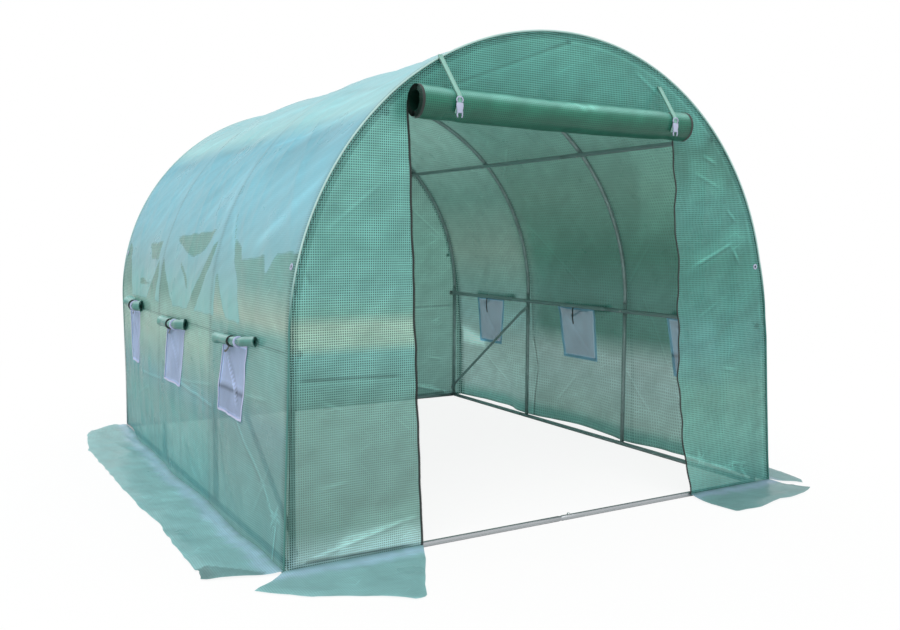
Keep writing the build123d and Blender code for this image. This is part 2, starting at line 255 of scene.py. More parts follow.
def sheet_surface(points, uv, keep=None, flip=False):
    """Open surface over a grid of points, with its own flat coordinates in metres."""
    faces = grid_faces(*points.shape[:2], keep=keep)
    return points.reshape(-1, 3), [faces[:, ::-1] if flip else faces], uv.reshape(-1, 2)


def unit(vectors):
    """Vectors scaled to length one."""
    return vectors / np.maximum(np.linalg.norm(vectors, axis=-1, keepdims=True), 1e-12)


def travelled(path):
    """Distance along a path at each of its points."""
    steps = np.linalg.norm(np.diff(path, axis=0), axis=-1)
    return np.concatenate([[0.0], np.cumsum(steps)])


def path_axes(path, reference):
    """Side and up at each point of a path; reference fixes the side."""
    tangent = unit(np.gradient(path, axis=0))
    side = unit(np.cross(tangent, np.broadcast_to(reference, path.shape)))
    return side, np.cross(side, tangent)


def swept(path, section, reference, scale=1.0, caps=True):
    """Profile carried along a path: each section point is offset by the path's side and up axes.

    scale multiplies the section, evenly or at each point of the path.
    """
    path, section = np.asarray(path, float), np.asarray(section, float)
    side, up = path_axes(path, reference)
    size = np.broadcast_to(scale, len(path))[:, None, None]
    offset = side[:, None] * section[None, :, :1] + up[:, None] * section[None, :, 1:]
    points = (path[:, None] + offset * size).reshape(-1, 3)
    about = travelled(np.concatenate([section, section[:1]]))[:-1]
    uv = together(travelled(path)[:, None], about[None])
    return points, ring_faces(points, len(section), caps), uv.reshape(-1, 2)


def volume(points, quads):
    """Signed volume between the faces and their own centre: negative when they face inwards."""
    a, b, c, d = (points[quads[:, i]] - points.mean(0) for i in range(4))
    return np.einsum("ij,ij->i", a, np.cross(b, c) + np.cross(c, d)).sum()


def circle(radius, sides):
    """Points round a circle."""
    angle = np.arange(sides) * tau / sides
    return together(radius * np.cos(angle), radius * np.sin(angle))


def rounded_bar(width, thickness):
    """Points round a flat bar whose corners are cut at 45 degrees by 0.35 of its thickness."""
    w, t, c = width / 2, thickness / 2, thickness * 0.35
    half = np.array([(w, -t + c), (w, t - c), (w - c, t), (-w + c, t)])
    return np.concatenate([half, -half])


def turned(profile, sides):
    """Profile of (radius, height) points spun round the Z axis, closed at both ends."""
    radius, height = np.array(profile, float).T[..., None]
    ring = circle(1, sides)
    points = together(radius * ring[:, 0], radius * ring[:, 1], height).reshape(-1, 3)
    return points, ring_faces(points, sides), points[:, :2].copy()


def placed(surface, origins, axes, twist=None):
    """Copies of a surface at many origins, with its Z axis turned to each given axis."""
    points, faces, uv = surface
    origins, z = np.atleast_2d(origins), unit(np.atleast_2d(np.asarray(axes, float)))
    z = np.broadcast_to(z, origins.shape)
    helper = np.where(np.abs(z[:, 2:]) > 0.9, ACROSS, UP) if twist is None else np.broadcast_to(twist, z.shape)
    x = unit(np.cross(helper, z))
    y = np.cross(z, x)
    copies = sum(points[None, :, k : k + 1] * axis[:, None] for k, axis in enumerate((x, y, z)))
    shift = (np.arange(len(origins)) * len(points))[:, None, None]
    many = [(f[None] + shift).reshape(-1, f.shape[1]) for f in faces]
    return (copies + origins[:, None]).reshape(-1, 3), many, np.tile(uv, (len(origins), 1))


def joined(surfaces):
    """Several surfaces as one."""
    points, faces, uv, start = [], [], [], 0
    for surface_points, surface_faces, surface_uv in surfaces:
        points.append(surface_points)
        uv.append(surface_uv)
        faces += [f + start for f in surface_faces]
        start += len(surface_points)
    return np.concatenate(points), faces, np.concatenate(uv)


def new_object(name, data):
    """Object of some data, in the scene."""
    made = bpy.data.objects.new(name, data)
    bpy.context.scene.collection.objects.link(made)
    return made


def make_piece(name, surface, material, replaces=(), values=None):
    """Mesh object from a surface, with its flat coordinates as the UV map Cloth, riding on the one body.

    values are named attributes painted on its points: numbers, or linear RGB colours.
    """
    points, faces, uv = surface
    used = np.unique(np.concatenate([f.ravel() for f in faces]))
    renumber = np.zeros(len(points), int)
    renumber[used] = np.arange(len(used))
    corners = np.concatenate([renumber[f].ravel() for f in faces])
    sizes = np.concatenate([np.full(len(f), f.shape[1]) for f in faces])
    mesh = bpy.data.meshes.new(name)
    mesh.vertices.add(len(used))
    mesh.loops.add(len(corners))
    mesh.polygons.add(len(sizes))
    fill(mesh.vertices, "co", points[used])
    fill(mesh.loops, "vertex_index", corners, np.int32)
    fill(mesh.polygons, "loop_start", np.cumsum(sizes) - sizes, np.int32)
    fill(mesh.polygons, "use_smooth", np.ones(len(sizes)), bool)
    fill(mesh.uv_layers.new(name="Cloth").data, "uv", uv[used][corners])
    for key, value in (values or {}).items():
        if value.size == len(points):
            fill(mesh.attributes.new(key, "FLOAT", "POINT").data, "value", value.reshape(-1)[used])
        else:
            tones = together(*value.reshape(-1, 3)[used].T, 1.0)
            fill(mesh.attributes.new(key, "FLOAT_COLOR", "POINT").data, "color", tones)
    mesh.update(calc_edges=True)
    mesh.validate()
    mesh.materials.append(material)
    piece = new_object(name, mesh)
    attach(piece, "root")
    if replaces:
        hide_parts(*replaces)
    return piece


def fill(items, key, numbers, kind=np.float32):
    """Set one property of all of a mesh's items from an array."""
    items.foreach_set(key, numbers.astype(kind).ravel())


def stations(breaks, step):
    """Places from the first break to the last, evenly spaced between breaks, about one step apart."""
    breaks = sorted(set(np.round(breaks, 6)))
    runs = [np.linspace(a, b, max(2, int(ceil((b - a) / step)) + 1))[:-1] for a, b in zip(breaks, breaks[1:])]
    return np.concatenate(runs + [[breaks[-1]]])


def ease(value):
    """Smooth step from 0 to 1."""
    value = np.clip(value, 0, 1)
    return value * value * (3 - 2 * value)


def noise(seed, u, v, size_u, size_v):
    """Smooth random surface from -1 to 1: random heights on a lattice, blended by a quintic step."""
    lattice = np.random.default_rng(seed).uniform(-1, 1, (128, 128))
    a, b = u / size_u + 40.37, v / size_v + 40.71
    i, j = np.floor(a).astype(int), np.floor(b).astype(int)
    s, t = a - i, b - j
    s, t = (w * w * w * (w * (w * 6 - 15) + 10) for w in (s, t))
    i0, i1, j0, j1 = i % 128, (i + 1) % 128, j % 128, (j + 1) % 128
    near = lattice[i0, j0] * (1 - t) + lattice[i0, j1] * t
    far = lattice[i1, j0] * (1 - t) + lattice[i1, j1] * t
    return near * (1 - s) + far * s


def soft_folds(u, v, *rows):
    """Sum of long rounded folds, each 0 to 1 times its gain.

    A row is a seed, a gain, the angle in degrees that its folds run at to u, and their width and run:
    (1 - |noise|) squared, with noise stretched along them.
    """
    total = 0
    for seed, gain, angle, width, run in rows:
        c, s = cos(radians(angle)), sin(radians(angle))
        total = total + gain * (1 - np.abs(noise(seed, u * c + v * s, v * c - u * s, run, width))) ** 2
    return total


def beside(u, v, u0, v0, u1, v1):
    """Distance along a straight line from its start, distance across it, and its length."""
    run = hypot(u1 - u0, v1 - v0)
    du, dv = (u1 - u0) / run, (v1 - v0) / run
    return (u - u0) * du + (v - v0) * dv, (v - v0) * du - (u - u0) * dv, run


def crease(u, v, line, width, height):
    """Fold line between two points: a narrow ridge beside a shallow valley, fading at both ends."""
    along, across, run = beside(u, v, *line)
    fade = ease((along / run + 0.08) / 0.16) * ease((1.08 - along / run) / 0.16)
    return height * fade * (bell(across / width) - 0.6 * bell((across / width - 1.8) / 1.3))


# ---- painting on a sheet's own coordinates

# Tones of the film by height (way up the sheet in metres), as heights and sRGB hex colours: the cover's
# outside in the front bay and further back, its painted reflection of the sky, its inside in front and at the
# back, the gables. They hold painted light and shade as well as the film's own colour.
TONES = {
    "wall_near": "0 #78b3b1 0.1 #79b2b3 0.3 #659b9c 0.42 #6a9ea3 0.5 #7eb0ac 0.6 #7eb8b4 0.71 #82beb7"
                 " 0.76 #b0cabb 0.88 #7db4af 1.1 #73b2ac",
    "wall_far": "0 #70bab9 0.1 #71b9bb 0.3 #6eb2b1 0.4 #71afb7 0.46 #7eb6b5 0.6 #a4cdbe 0.72 #9ecec3"
                " 0.8 #73a89d 1.03 #7fb4af",
    "sky_reflection": "0.78 #87c8c7 0.92 #8bc2cc 1.12 #8bcfe2 1.3 #86d1e6 1.45 #7ccbe1 1.56 #abeaf0 1.75 #a7e7f1"
             " 2.3 #a9e8f2",
    "inner_near": "0.04 #83b9b1 0.1 #aac7c2 0.3 #abc5c4 0.42 #adc4c3 0.55 #508379 0.75 #56877f"
                  " 0.95 #41796a 1.3 #638e81 1.7 #6a9a90 2.3 #729e93",
    "inner_far": "0.04 #92ccc5 0.1 #c2e0de 0.3 #bad7d4 0.42 #a9c5c2 0.55 #97c1c0 0.75 #84afa8"
                 " 0.95 #8eaa9f 1.3 #6f9c92 1.8 #95c0b7 2.3 #89b9ad",
    "gable_left": "0.03 #afd3d4 0.12 #6e9790 0.3 #6f9b95 0.5 #72a29a 0.63 #7db6b1 0.67 #83bfba"
                  " 0.7 #a8cfc0 0.76 #b0d3c3 0.8 #84bdb3 0.86 #7fbcb6 1 #7bbcb5 1.25 #7fc0b8",
    "gable_right": "0.05 #6eaea8 0.2 #78b5ac 0.4 #74aca1 0.6 #69a9a4 0.8 #5ea199 0.95 #599b91"
                   " 1.15 #62a39c 1.3 #599389",
    "gable_crown": "1.4 #61a69c 1.6 #66aea5 1.75 #6bb1a6",
    "gable_inner": "0.1 #92bdb7 0.5 #8fbdb4 1 #8bc0b4 1.4 #83ada4 1.75 #79a297",
}


def toned(name, at):
    """Linear RGB at each height from a named row of tones, blended between its places."""
    words = TONES[name].split()
    tones = [linear(code)[:3] for code in words[1::2]]
    return together(*(np.interp(at, [float(word) for word in words[0::2]], c) for c in zip(*tones)))


def patch_distance(u, v, corners):
    """Signed distance to a patch with straight edges, in metres: positive outside it.

    The distance to each edge is that to its nearest point; a point is inside when a level line from it
    crosses the edges an odd number of times.
    """
    corners = np.asarray(corners, float)
    nearest = np.full(np.shape(u), np.inf)
    inside = np.zeros(np.shape(u), bool)
    for (u0, v0), (u1, v1) in zip(corners, np.roll(corners, -1, axis=0)):
        run = (u1 - u0) ** 2 + (v1 - v0) ** 2
        along = np.clip(((u - u0) * (u1 - u0) + (v - v0) * (v1 - v0)) / run, 0, 1)
        nearest = np.minimum(nearest, np.hypot(u - u0 - along * (u1 - u0), v - v0 - along * (v1 - v0)))
        if v1 != v0:
            crosses = ((v0 > v) != (v1 > v)) & (u < u0 + (v - v0) * (u1 - u0) / (v1 - v0))
            inside ^= crosses
    return np.where(inside, -nearest, nearest)


def in_patch(u, v, corners, soft):
    """Share 0 to 1 of being in a patch, with a soft edge of a given width in metres."""
    return ease(0.5 - patch_distance(u, v, corners) / soft)


def streak(u, v, line, half):
    """Share 0 to 1 of a soft straight streak: a bell curve across it, fading over a quarter at its ends."""
    along, across, run = beside(u, v, *line)
    return bell(across / half) * ease(along / run / 0.25) * ease((1 - along / run) / 0.25)


def fold_lines(u, v, lines):
    """Signed distance to the nearest of some fold lines, and how strongly that line shows, 0 to 1.

    Each line is its start, its end and a strength in one row; it fades at both ends and away from its
    middle line, so the change of sign between two lines never shows.
    """
    nearest = np.full(np.shape(u), np.inf)
    signed, share = np.zeros(np.shape(u)), np.zeros(np.shape(u))
    for *line, strength in lines:
        along, across, run = beside(u, v, *line)
        away = np.hypot(across, np.maximum(np.maximum(-along, along - run), 0))
        closer = away < nearest
        nearest = np.where(closer, away, nearest)
        signed = np.where(closer, across, signed)
        ends = ease(along / 0.05) * ease((run - along) / 0.05)
        share = np.where(closer, strength * ends * ease((0.045 - away) / 0.02), share)
    return signed, share


# ---- materials


def node(tree, kind, *inputs, out=0, **settings):
    """Add a shader node and give one of its outputs.

    Settings are set by name; inputs are filled in order, or by name or number where a dict gives them,
    with values or with links from other nodes' outputs.
    """
    made = tree.nodes.new("ShaderNode" + kind)
    for key, value in settings.items():
        setattr(made, key, value)
    filled = {}
    for number, value in enumerate(inputs):
        filled.update(value if isinstance(value, dict) else {number: value})
    for key, value in filled.items():
        if isinstance(value, bpy.types.NodeSocket):
            tree.links.new(value, made.inputs[key])
        else:
            made.inputs[key].default_value = value
    return made.outputs[out] if made.outputs else made


def emptied(owner):
    """Clear the nodes of a material or world and give the add-node function bound to its tree."""
    owner.use_nodes = True
    owner.node_tree.nodes.clear()
    return partial(node, owner.node_tree)


def new_material(name):
    """Empty node material, with its add-node function."""
    material = bpy.data.materials.new(name)
    return material, emptied(material)


def shade(colour_value, factor):
    """Colour made lighter or darker by a factor, with alpha one."""
    return [min(1.0, c * factor) for c in colour_value[:3]] + [1.0]


RGBA = {"data_type": "RGBA", "out": 2}  # a Mix node set to mix colours: 0 is the share, 6 and 7 the colours
WAVE_PERIOD = 0.314  # period of a Wave texture at scale 1
TO_MM = {3: (1000, 1000, 1000)}  # scale of a Mapping node from metres to millimetres


def reinforced_film(name, weave, haze=None, haze_inside=None, mottle=0.16):
    """Woven polyethylene scrim laminated between clear films.

    The eye sees a small square grid of opaque yarns, with clearer cells between them that show the tubes
    and daylight behind, painted highlights along packing creases in clusters, a soft gloss, and a pale blue
    painted reflection of the sky with ruffled edges where the film faces the sky. The inner face is duller.
    The sheet carries its tones with their painted light and shade, the painted sky reflection, painted
    shadows of tubes behind it and fold lines drawn as painted highlight and shade, as the attributes Outer,
    Inner, Bloom, Sky, Behind (0 right over a tube, 1 clear of it), Fold and Shown.
    """
    settings = bpy.context.scene.tunnel_film
    haze = settings.haze_outside if haze is None else haze
    haze_inside = settings.haze_inside if haze_inside is None else haze_inside
    material, add = new_material(name)
    flat = add("Mapping", add("UVMap", uv_map="Cloth"), TO_MM)
    outer, inner, blue = (
        add("Attribute", attribute_name=key, out="Color") for key in ("Outer", "Inner", "SkyReflection"))
    painted_sky, behind, fold, shown = (
        add("Attribute", attribute_name=key, out="Fac") for key in ("Sky", "ClearOfTubeShadow", "Fold", "Shown"))

    # The grid has the setting's pitch. On the inner face, which is seen from further away, it is drawn twice
    # as coarse so that it still shows.
    inside = add("NewGeometry", out="Backfacing")
    grid = WAVE_PERIOD * MM / settings.yarn_pitch
    wave = {"Vector": flat, "Scale": add("MapRange", inside, 0.0, 1.0, grid, 0.5 * grid),
            "Distortion": add("MapRange", inside, 0.0, 1.0, 0.0, 1.5), "Detail Scale": 0.4}
    rows, columns = (
        add("MapRange", add("TexWave", wave, out="Fac", wave_type="BANDS", bands_direction=axis), 0.4, 0.8)
        for axis in "YX")
    yarns = add("Math", rows, columns, operation="MAXIMUM")

    # Noise of a size in millimetres, stretched and turned: dust clouds, mottling, streaks along the tapes,
    # brushed sweeps in the painted sky reflection, its ruffled edge, crinkles, and two sets of packing strokes
    # that carry painted highlights.
    clouds, mottles, streaks, sweeps, ruffle, crinkle, stroke, cross_stroke = (
        add("TexNoise",
            {"Vector": add("Mapping", flat, {2: (0, 0, radians(angle)), 3: (size * run, size, size)},
                           vector_type="TEXTURE"),
             "Scale": 1.0, "Detail": detail})
        for size, run, angle, detail in ((260, 1, 0, 4), (70, 1.6, 30, 4), (5, 24, 0, 2), (42, 7, -28, 4),
                                         (60, 2, -25, 4), (28, 1, 0, 3), (9, 13, 28, 1), (9, 13, -41, 1))
    )
    tone = add("Mix", {0: inside, 6: outer, 7: inner}, **RGBA)
    for spread, pattern in ((mottle / 2, mottles), (0.05, clouds), (0.06, streaks)):
        gain = add("MapRange", pattern, 0.3, 0.7, 1 - spread, 1 + spread)
        tone = add("VectorMath", tone, {"Scale": gain}, operation="SCALE")

    # Painted reflection of the sky: 20 mm waves and 5 mm frills move its painted edge.
    edge = add("Math", painted_sky, add("MapRange", ruffle, 0.0, 1.0, -0.014, 0.014), operation="ADD")
    sky = add("MapRange", edge, -0.004, 0.006, 0.0, add("Math", 0.96, inside, operation="SUBTRACT"))
    sky_reflection = add("VectorMath", blue, {"Scale": add("MapRange", sweeps, 0.3, 0.7, 0.93, 1.07)}, operation="SCALE")
    tone = add("Mix", {0: sky, 6: tone, 7: sky_reflection}, **RGBA)

    # Painted highlights along packing creases: strokes 9 mm by 120 mm in two directions, in clusters.
    crease_light_and_weave = add("Math", add("MapRange", stroke, 0.62, 0.74), add("MapRange", cross_stroke, 0.64, 0.76),
                 operation="MAXIMUM")
    for factor in (add("MapRange", clouds, 0.5, 0.62, 0.0, 0.25), add("MapRange", sky, 0.0, 1.0, 1.0, 0.3)):
        crease_light_and_weave = add("Math", crease_light_and_weave, factor, operation="MULTIPLY")
    # Fold lines: a painted highlight 14 mm wide with a painted shade along one side.
    shows = add("Math", shown, add("MapRange", sky, 0.0, 1.0, 1.0, 0.6), operation="MULTIPLY")
    for shift, gone, gain in ((0.0, 0.009, 0.7), (0.012, 0.01, -0.28)):
        away = add("Math", add("Math", fold, shift, operation="ADD"), operation="ABSOLUTE")
        line = add("Math", shows, add("MapRange", away, 0.002, gone, gain, 0.0), operation="MULTIPLY")
        crease_light_and_weave = add("Math", crease_light_and_weave, line, operation="ADD")
    # Yarns are lighter than the cells, by a contrast that the painted sky reflection hides on the arch.
    yarn_relief = add("Math", yarns, 0.5, operation="SUBTRACT")
    for factor in (add("MapRange", inside, 0.0, 1.0, weave, 0.15), add("MapRange", sky, 0.0, 1.0, 1.0, 0.3),
                   add("MapRange", mottles, 0.35, 0.6, 1.0, 2.4)):
        yarn_relief = add("Math", yarn_relief, factor, operation="MULTIPLY")
    crease_light_and_weave = add("Math", add("Math", crease_light_and_weave, yarn_relief, operation="ADD"), 1.0, operation="ADD")
    tone = add("VectorMath", tone, {"Scale": crease_light_and_weave}, operation="SCALE")

    # Painted tube shadow: where a tube lies right behind the film no light comes through the cells, which take
    # the shadow colour while the yarns stand out.
    tube_shadow_share = add("MapRange", behind, 0.0, 1.0, 1.0, 0.0)
    for pattern, low_gain in ((yarns, 0.2), (sky, 0.45)):
        tube_shadow_share = add("Math", tube_shadow_share, add("MapRange", pattern, 0.0, 1.0, 1.0, low_gain), operation="MULTIPLY")
    tone = add("Mix", {0: tube_shadow_share, 6: tone, 7: settings.shadow_colour}, **RGBA)

    share = add("MapRange", inside, 0.0, 1.0, haze, haze_inside)
    for pattern, most in ((yarns, 0.95), (sky, 0.97)):
        share = add("Math", share, add("Math", pattern, most, operation="MULTIPLY"), operation="MAXIMUM")
    bump = add("Bump", {"Strength": 0.5, "Distance": 1.6 * MM, "Height": crinkle})
    bump = add("Bump", {"Strength": 0.4, "Distance": 0.3 * MM, "Height": yarns, "Normal": bump})
    front = add("BsdfPrincipled", {"Base Color": tone, "IOR": 1.5, "Normal": bump,
                                   "Roughness": add("MapRange", clouds, 0.3, 0.7, 0.24, 0.4)})
    cloth = add("MixShader", 0.28, front, add("BsdfTranslucent", {"Color": tone, "Normal": bump}))
    clear = add("BsdfTransparent", {"Color": settings.clear_tint})
    add("OutputMaterial", add("MixShader", share, clear, cloth))
    return material


def galvanised_steel():
    """Hot-dipped zinc on drawn tube: cool mid grey, soft shine, faint spangles a centimetre across."""
    base = bpy.context.scene.tunnel_frame.steel_colour
    material, add = new_material("galvanised_steel")
    place = add("TexCoord", out="Object")
    spangle = add("RGBToBW", add("TexVoronoi", {"Vector": place, "Scale": 90.0}, out="Color"))
    smear = add("TexNoise", {"Vector": place, "Scale": 14.0, "Detail": 5.0})
    spangled = add("MapRange", spangle, 0.2, 0.8)
    dulled = add("MapRange", smear, 0.4, 0.7, 0.0, 0.45)
    tone = add("Mix", {0: spangled, 6: shade(base, 0.88), 7: shade(base, 1.1)}, **RGBA)
    tone = add("Mix", {0: dulled, 6: tone, 7: shade(base, 0.66)}, **RGBA)
    # Darker at the front below 30 mm: the front ground rail and the feet of the front hoop beside the doorway
    clear = add("Math", add("MapRange", add("SeparateXYZ", place, out="Y"), -1.21, -1.19),
                add("MapRange", add("SeparateXYZ", place, out="Z"), 0.03, 0.06), operation="MAXIMUM")
    tone = add("Mix", {0: clear, 6: shade(base, 0.42), 7: tone}, **RGBA)
    add("OutputMaterial", add("BsdfPrincipled", {
        "Base Color": tone, "Metallic": 0.5, "Roughness": add("MapRange", smear, 0.3, 0.7, 0.38, 0.56),
        "Normal": add("Bump", {"Strength": 0.25, "Distance": 0.2 * MM, "Height": smear})}))
    return material


def plated_bolt():
    """Zinc plated fastener: bright, a little scratched."""
    base = bpy.context.scene.tunnel_frame.bolt_colour
    material, add = new_material("zinc_plated_bolt")
    scratch = add("TexNoise", {"Vector": add("TexCoord", out="Object"), "Scale": 900.0, "Detail": 2.0})
    tone = add("Mix", {0: scratch, 6: shade(base, 0.85), 7: shade(base, 1.1)}, **RGBA)
    add("OutputMaterial", add("BsdfPrincipled", {
        "Base Color": tone, "Metallic": 1.0, "Roughness": add("MapRange", scratch, 0.3, 0.7, 0.22, 0.42)}))
    return material


def moulded_plastic(name, base, roughness, grain_mm):
    """Injection-moulded plastic: even colour with a fine spark-eroded grain and soft highlights."""
    material, add = new_material(name)
    place = add("TexCoord", out="Object")
    grain = add("TexNoise", {"Vector": place, "Scale": 1000 / grain_mm, "Detail": 2.0})
    patch = add("TexNoise", {"Vector": place, "Scale": 30.0, "Detail": 2.0})
    tone = add("Mix", {0: patch, 6: shade(base, 0.86), 7: shade(base, 1.12)}, **RGBA)
    add("OutputMaterial", add("BsdfPrincipled", {
        "Base Color": tone, "IOR": 1.49,
        "Roughness": add("MapRange", patch, 0.3, 0.7, roughness - 0.06, roughness + 0.08),
        "Normal": add("Bump", {"Strength": 0.3, "Distance": 0.1 * MM, "Height": grain})}))
    return material


def insect_net():
    """Knitted polyester insect net: a haze of fine white threads 1.5 mm apart, drawn 4 mm apart to show.

    The painted light and shade, Shown, lightens and darkens it along folds and lifts its rim.
    From the shaded inside it is darker and bluer.
    """
    windows = bpy.context.scene.tunnel_windows
    base = windows.net_colour
    material, add = new_material("insect_net")
    flat = add("Mapping", add("UVMap", uv_map="Cloth"), TO_MM)
    knit = add("TexBrick", {"Vector": flat, "Scale": 1.0, "Mortar Size": 0.7, "Mortar Smooth": 0.4,
                            "Brick Width": 4.0, "Row Height": 4.0}, out="Fac", offset=0.5, squash=1.0)
    cloud = add("TexNoise", {"Vector": flat, "Scale": 1 / 60, "Detail": 3.0})
    tone = add("Mix", {0: cloud, 6: shade(base, 0.86), 7: shade(base, 1.12)}, **RGBA)
    tone = add("Mix", {0: add("NewGeometry", out="Backfacing"), 6: tone, 7: windows.net_inside}, **RGBA)
    tone = add("VectorMath", tone, {"Scale": add("Attribute", attribute_name="Shown", out="Fac")},
               operation="SCALE")
    threads = add("MixShader", 0.25, add("BsdfPrincipled", {"Base Color": tone, "Roughness": 0.75}),
                  add("BsdfTranslucent", {"Color": tone}))
    cover = add("MapRange", knit, 0.0, 1.0, 0.86, 0.97)
    add("OutputMaterial", add("MixShader", cover, add("BsdfTransparent"), threads))
    return material


def woven_tape(name, base, rib_mm, low_base=None):
    """Woven polypropylene tape: ribs across it, a dry soft shine, slightly uneven dye.

    With low_base it goes over to that colour below the arch: on the seam piping the pale base above is a
    painted reflection of the sky.
    """
    material, add = new_material(name)
    flat = add("Mapping", add("UVMap", uv_map="Cloth"), TO_MM)
    rib = add("TexWave", {"Vector": flat, "Scale": WAVE_PERIOD / rib_mm, "Distortion": 0.6, "Detail": 1.0},
              out="Fac", wave_type="BANDS", bands_direction="X")
    cloud = add("TexNoise", {"Vector": flat, "Scale": 1 / 25, "Detail": 3.0})
    tone = add("Mix", {0: cloud, 6: shade(base, 0.88), 7: shade(base, 1.1)}, **RGBA)
    if low_base is not None:
        height = add("SeparateXYZ", add("TexCoord", out="Object"), out="Z")
        tone = add("Mix", {0: add("MapRange", height, 0.78, 0.98), 6: low_base, 7: tone}, **RGBA)
    tone = add("VectorMath", tone, {"Scale": add("MapRange", rib, 0.0, 1.0, 1.0, 0.87)}, operation="SCALE")
    add("OutputMaterial", add("BsdfPrincipled", {
        "Base Color": tone, "Roughness": 0.6, "Sheen Weight": 0.2,
        "Normal": add("Bump", {"Strength": 0.7, "Distance": 0.4 * MM, "Height": rib})}))
    return material


# ---- where the film runs


def around(s):
    """Point (x, z) and outward normal on the hoop line, by the distance s up from the left foot."""
    s = np.asarray(s, float)
    down = COVER_LENGTH - s
    angle = pi - np.clip((s - SPRING) / HOOP_RADIUS, 0, pi)
    z = np.where(s < SPRING, s, np.where(s > COVER_LENGTH - SPRING, down, SPRING + HOOP_RADIUS * np.sin(angle)))
    upright = (s < SPRING) | (s > COVER_LENGTH - SPRING)
    return HOOP_RADIUS * np.cos(angle), z, np.cos(angle), np.where(upright, 0.0, np.sin(angle))


def hoop_distance(x, z):
    """Distance from the arch's centre above the spring line, and from the middle plane below it."""
    return np.where(z > SPRING, np.hypot(x, z - SPRING), np.abs(x))


# How far the loose film of each wall stands out from its hoops, as (heights, distances)
FLARES = {-1: ([0.0, 0.25, 0.5, SPRING], [0.024, 0.016, 0.007, 0.0]),
          1: ([0.0, 0.11, 0.37, 0.63, SPRING, 0.95], [0.08, 0.068, 0.048, 0.03, 0.018, 0.0])}


def flare(sign, y, z):
    """Outward lean of the loose lower film at a place on the left (-1) or right (1) wall.

    It grows towards the ground and waves slowly along the tunnel, most between the hoops.
    """
    places, reach = FLARES[sign]
    low_down = ease((0.4 - z) / 0.4) * ease((y - HOOP_Y[0]) / 0.3)
    wave = reach[0] * low_down * (0.3 * np.sin(7.4 * y + 1.1) + 0.22 * noise(91 + sign, y, 0 * y, 0.16, 1.0))
    held = 1 - 1.4 * ease((y - 0.7) / 0.5) if sign < 0 else 1.0  # pegged close at the far left corner
    return (np.interp(z, places, reach) + np.maximum(wave, -0.4 * reach[0])) * held


def cover_offset(y, s):
    """How far the main cover stands off its hoop line, by place along the tunnel and up the hoop.

    It is the lift over the tubes, less a sag between hoops, plus long folds.
    """
    film = bpy.context.scene.tunnel_film
    up = np.minimum(s, COVER_LENGTH - s)
    bay = (HOOP_Y[-1] - HOOP_Y[0]) / (len(HOOP_Y) - 1)
    share = np.clip((y - HOOP_Y[0]) / bay, 0, len(HOOP_Y) - 1 - 1e-9) % 1.0  # of the way through its bay
    between = 1 - np.abs(2 * share - 1) ** 2.3
    sag = np.interp(up, [0.0, 0.25, SPRING, SPRING + 0.4, SPRING + 1.0, COVER_LENGTH / 2],
                    [0.0, film.wall_sag * 0.7, film.wall_sag, film.roof_sag * 0.8, film.roof_sag,
                     film.roof_sag * 0.8])
    offset = FILM_LIFT - sag * between
    free = np.sqrt(np.clip(between, 0, 1))  # nothing moves where a hoop carries it
    base = ease(up / 0.12)
    roof = ease((up - 0.55) / 0.5)
    place = y + np.where(s < COVER_LENGTH / 2, 0.0, 7.3)  # so that the two sides fold differently
    offset += free * roof * film.drape * (soft_folds(
        place, up, (11, 1.0, 52, 0.13, 0.9), (12, 0.8, -38, 0.16, 1.1), (13, 0.6, 80, 0.09, 0.8)) - 0.9)
    offset += free * base * (1 - roof) * film.drape * (soft_folds(
        place, up, (14, 0.9, 78, 0.1, 0.7), (15, 0.5, 28, 0.12, 0.6)) - 0.55)
    return offset + 0.0012 * free * noise(16, place, up, 0.05, 0.06)


# ---- frame tubes

SWAGE_SLOPE = 0.0008  # half the length over which a tube steps in


def tube_run(path, reference, radius=TUBE_RADIUS, swages=()):
    """Round tube along a path, stepped in for a short band at each swaged joint."""
    settings = bpy.context.scene.tunnel_frame
    distance = travelled(path)
    scale = np.ones(len(path))
    for joint in swages:
        inside = (distance > joint) & (distance < joint + settings.swage_length)
        scale = np.where(inside, 1 - settings.swage_depth / radius, scale)
    return swept(path, circle(radius, settings.tube_sides), reference, scale)


def with_swages(places, swages):
    """Places along a tube, with close pairs added at both ends of each swage."""
    band = bpy.context.scene.tunnel_frame.swage_length
    pairs = (-SWAGE_SLOPE, SWAGE_SLOPE, band - SWAGE_SLOPE, band + SWAGE_SLOPE)
    return np.unique(np.concatenate([places, [place + shift for place in swages for shift in pairs]]))


def straight_tube(start, end, reference, radius=TUBE_RADIUS, swages=()):
    """Round tube between two points, with its swages at distances from the start."""
    start, end = np.asarray(start, float), np.asarray(end, float)
    run = hypot(*(end - start))
    places = with_swages(stations([0, run], 0.25), swages)
    return tube_run(start + (end - start) * (places / run)[:, None], reference, radius, swages)


def steel_piece(name, surface, steel):
    """Steel tube that stands in for a CAD node."""
    make_piece(f"{name}_tube", surface, steel, [name])


class TUNNEL_OT_hoops(bpy.types.Operator):
    """Round steel arches and legs over the CAD hoops"""

    bl_idname = "tunnel.hoops"
    bl_label = "Hoops"

    def execute(self, context):
        steel = galvanised_steel()
        joint = ARCH_LENGTH / 2 + 0.03  # just right of the ridge
        x_arch, z_arch, _, _ = around(with_swages(stations([0, ARCH_LENGTH], 0.025), [joint]) + SPRING)
        for number, y in zip(HOOP_NUMBERS, HOOP_Y):
            arch = tube_run(together(x_arch, y, z_arch), ALONG, swages=[joint])
            steel_piece(f"hoop_{number}_arch", arch, steel)
            for side, sign in SIDES.items():
                leg, x = f"hoop_{number}_{side}_leg", sign * HOOP_RADIUS
                steel_piece(leg, straight_tube((x, y, low(leg, 2)), (x, y, high(leg, 2) - MM), ALONG), steel)
        return {"FINISHED"}


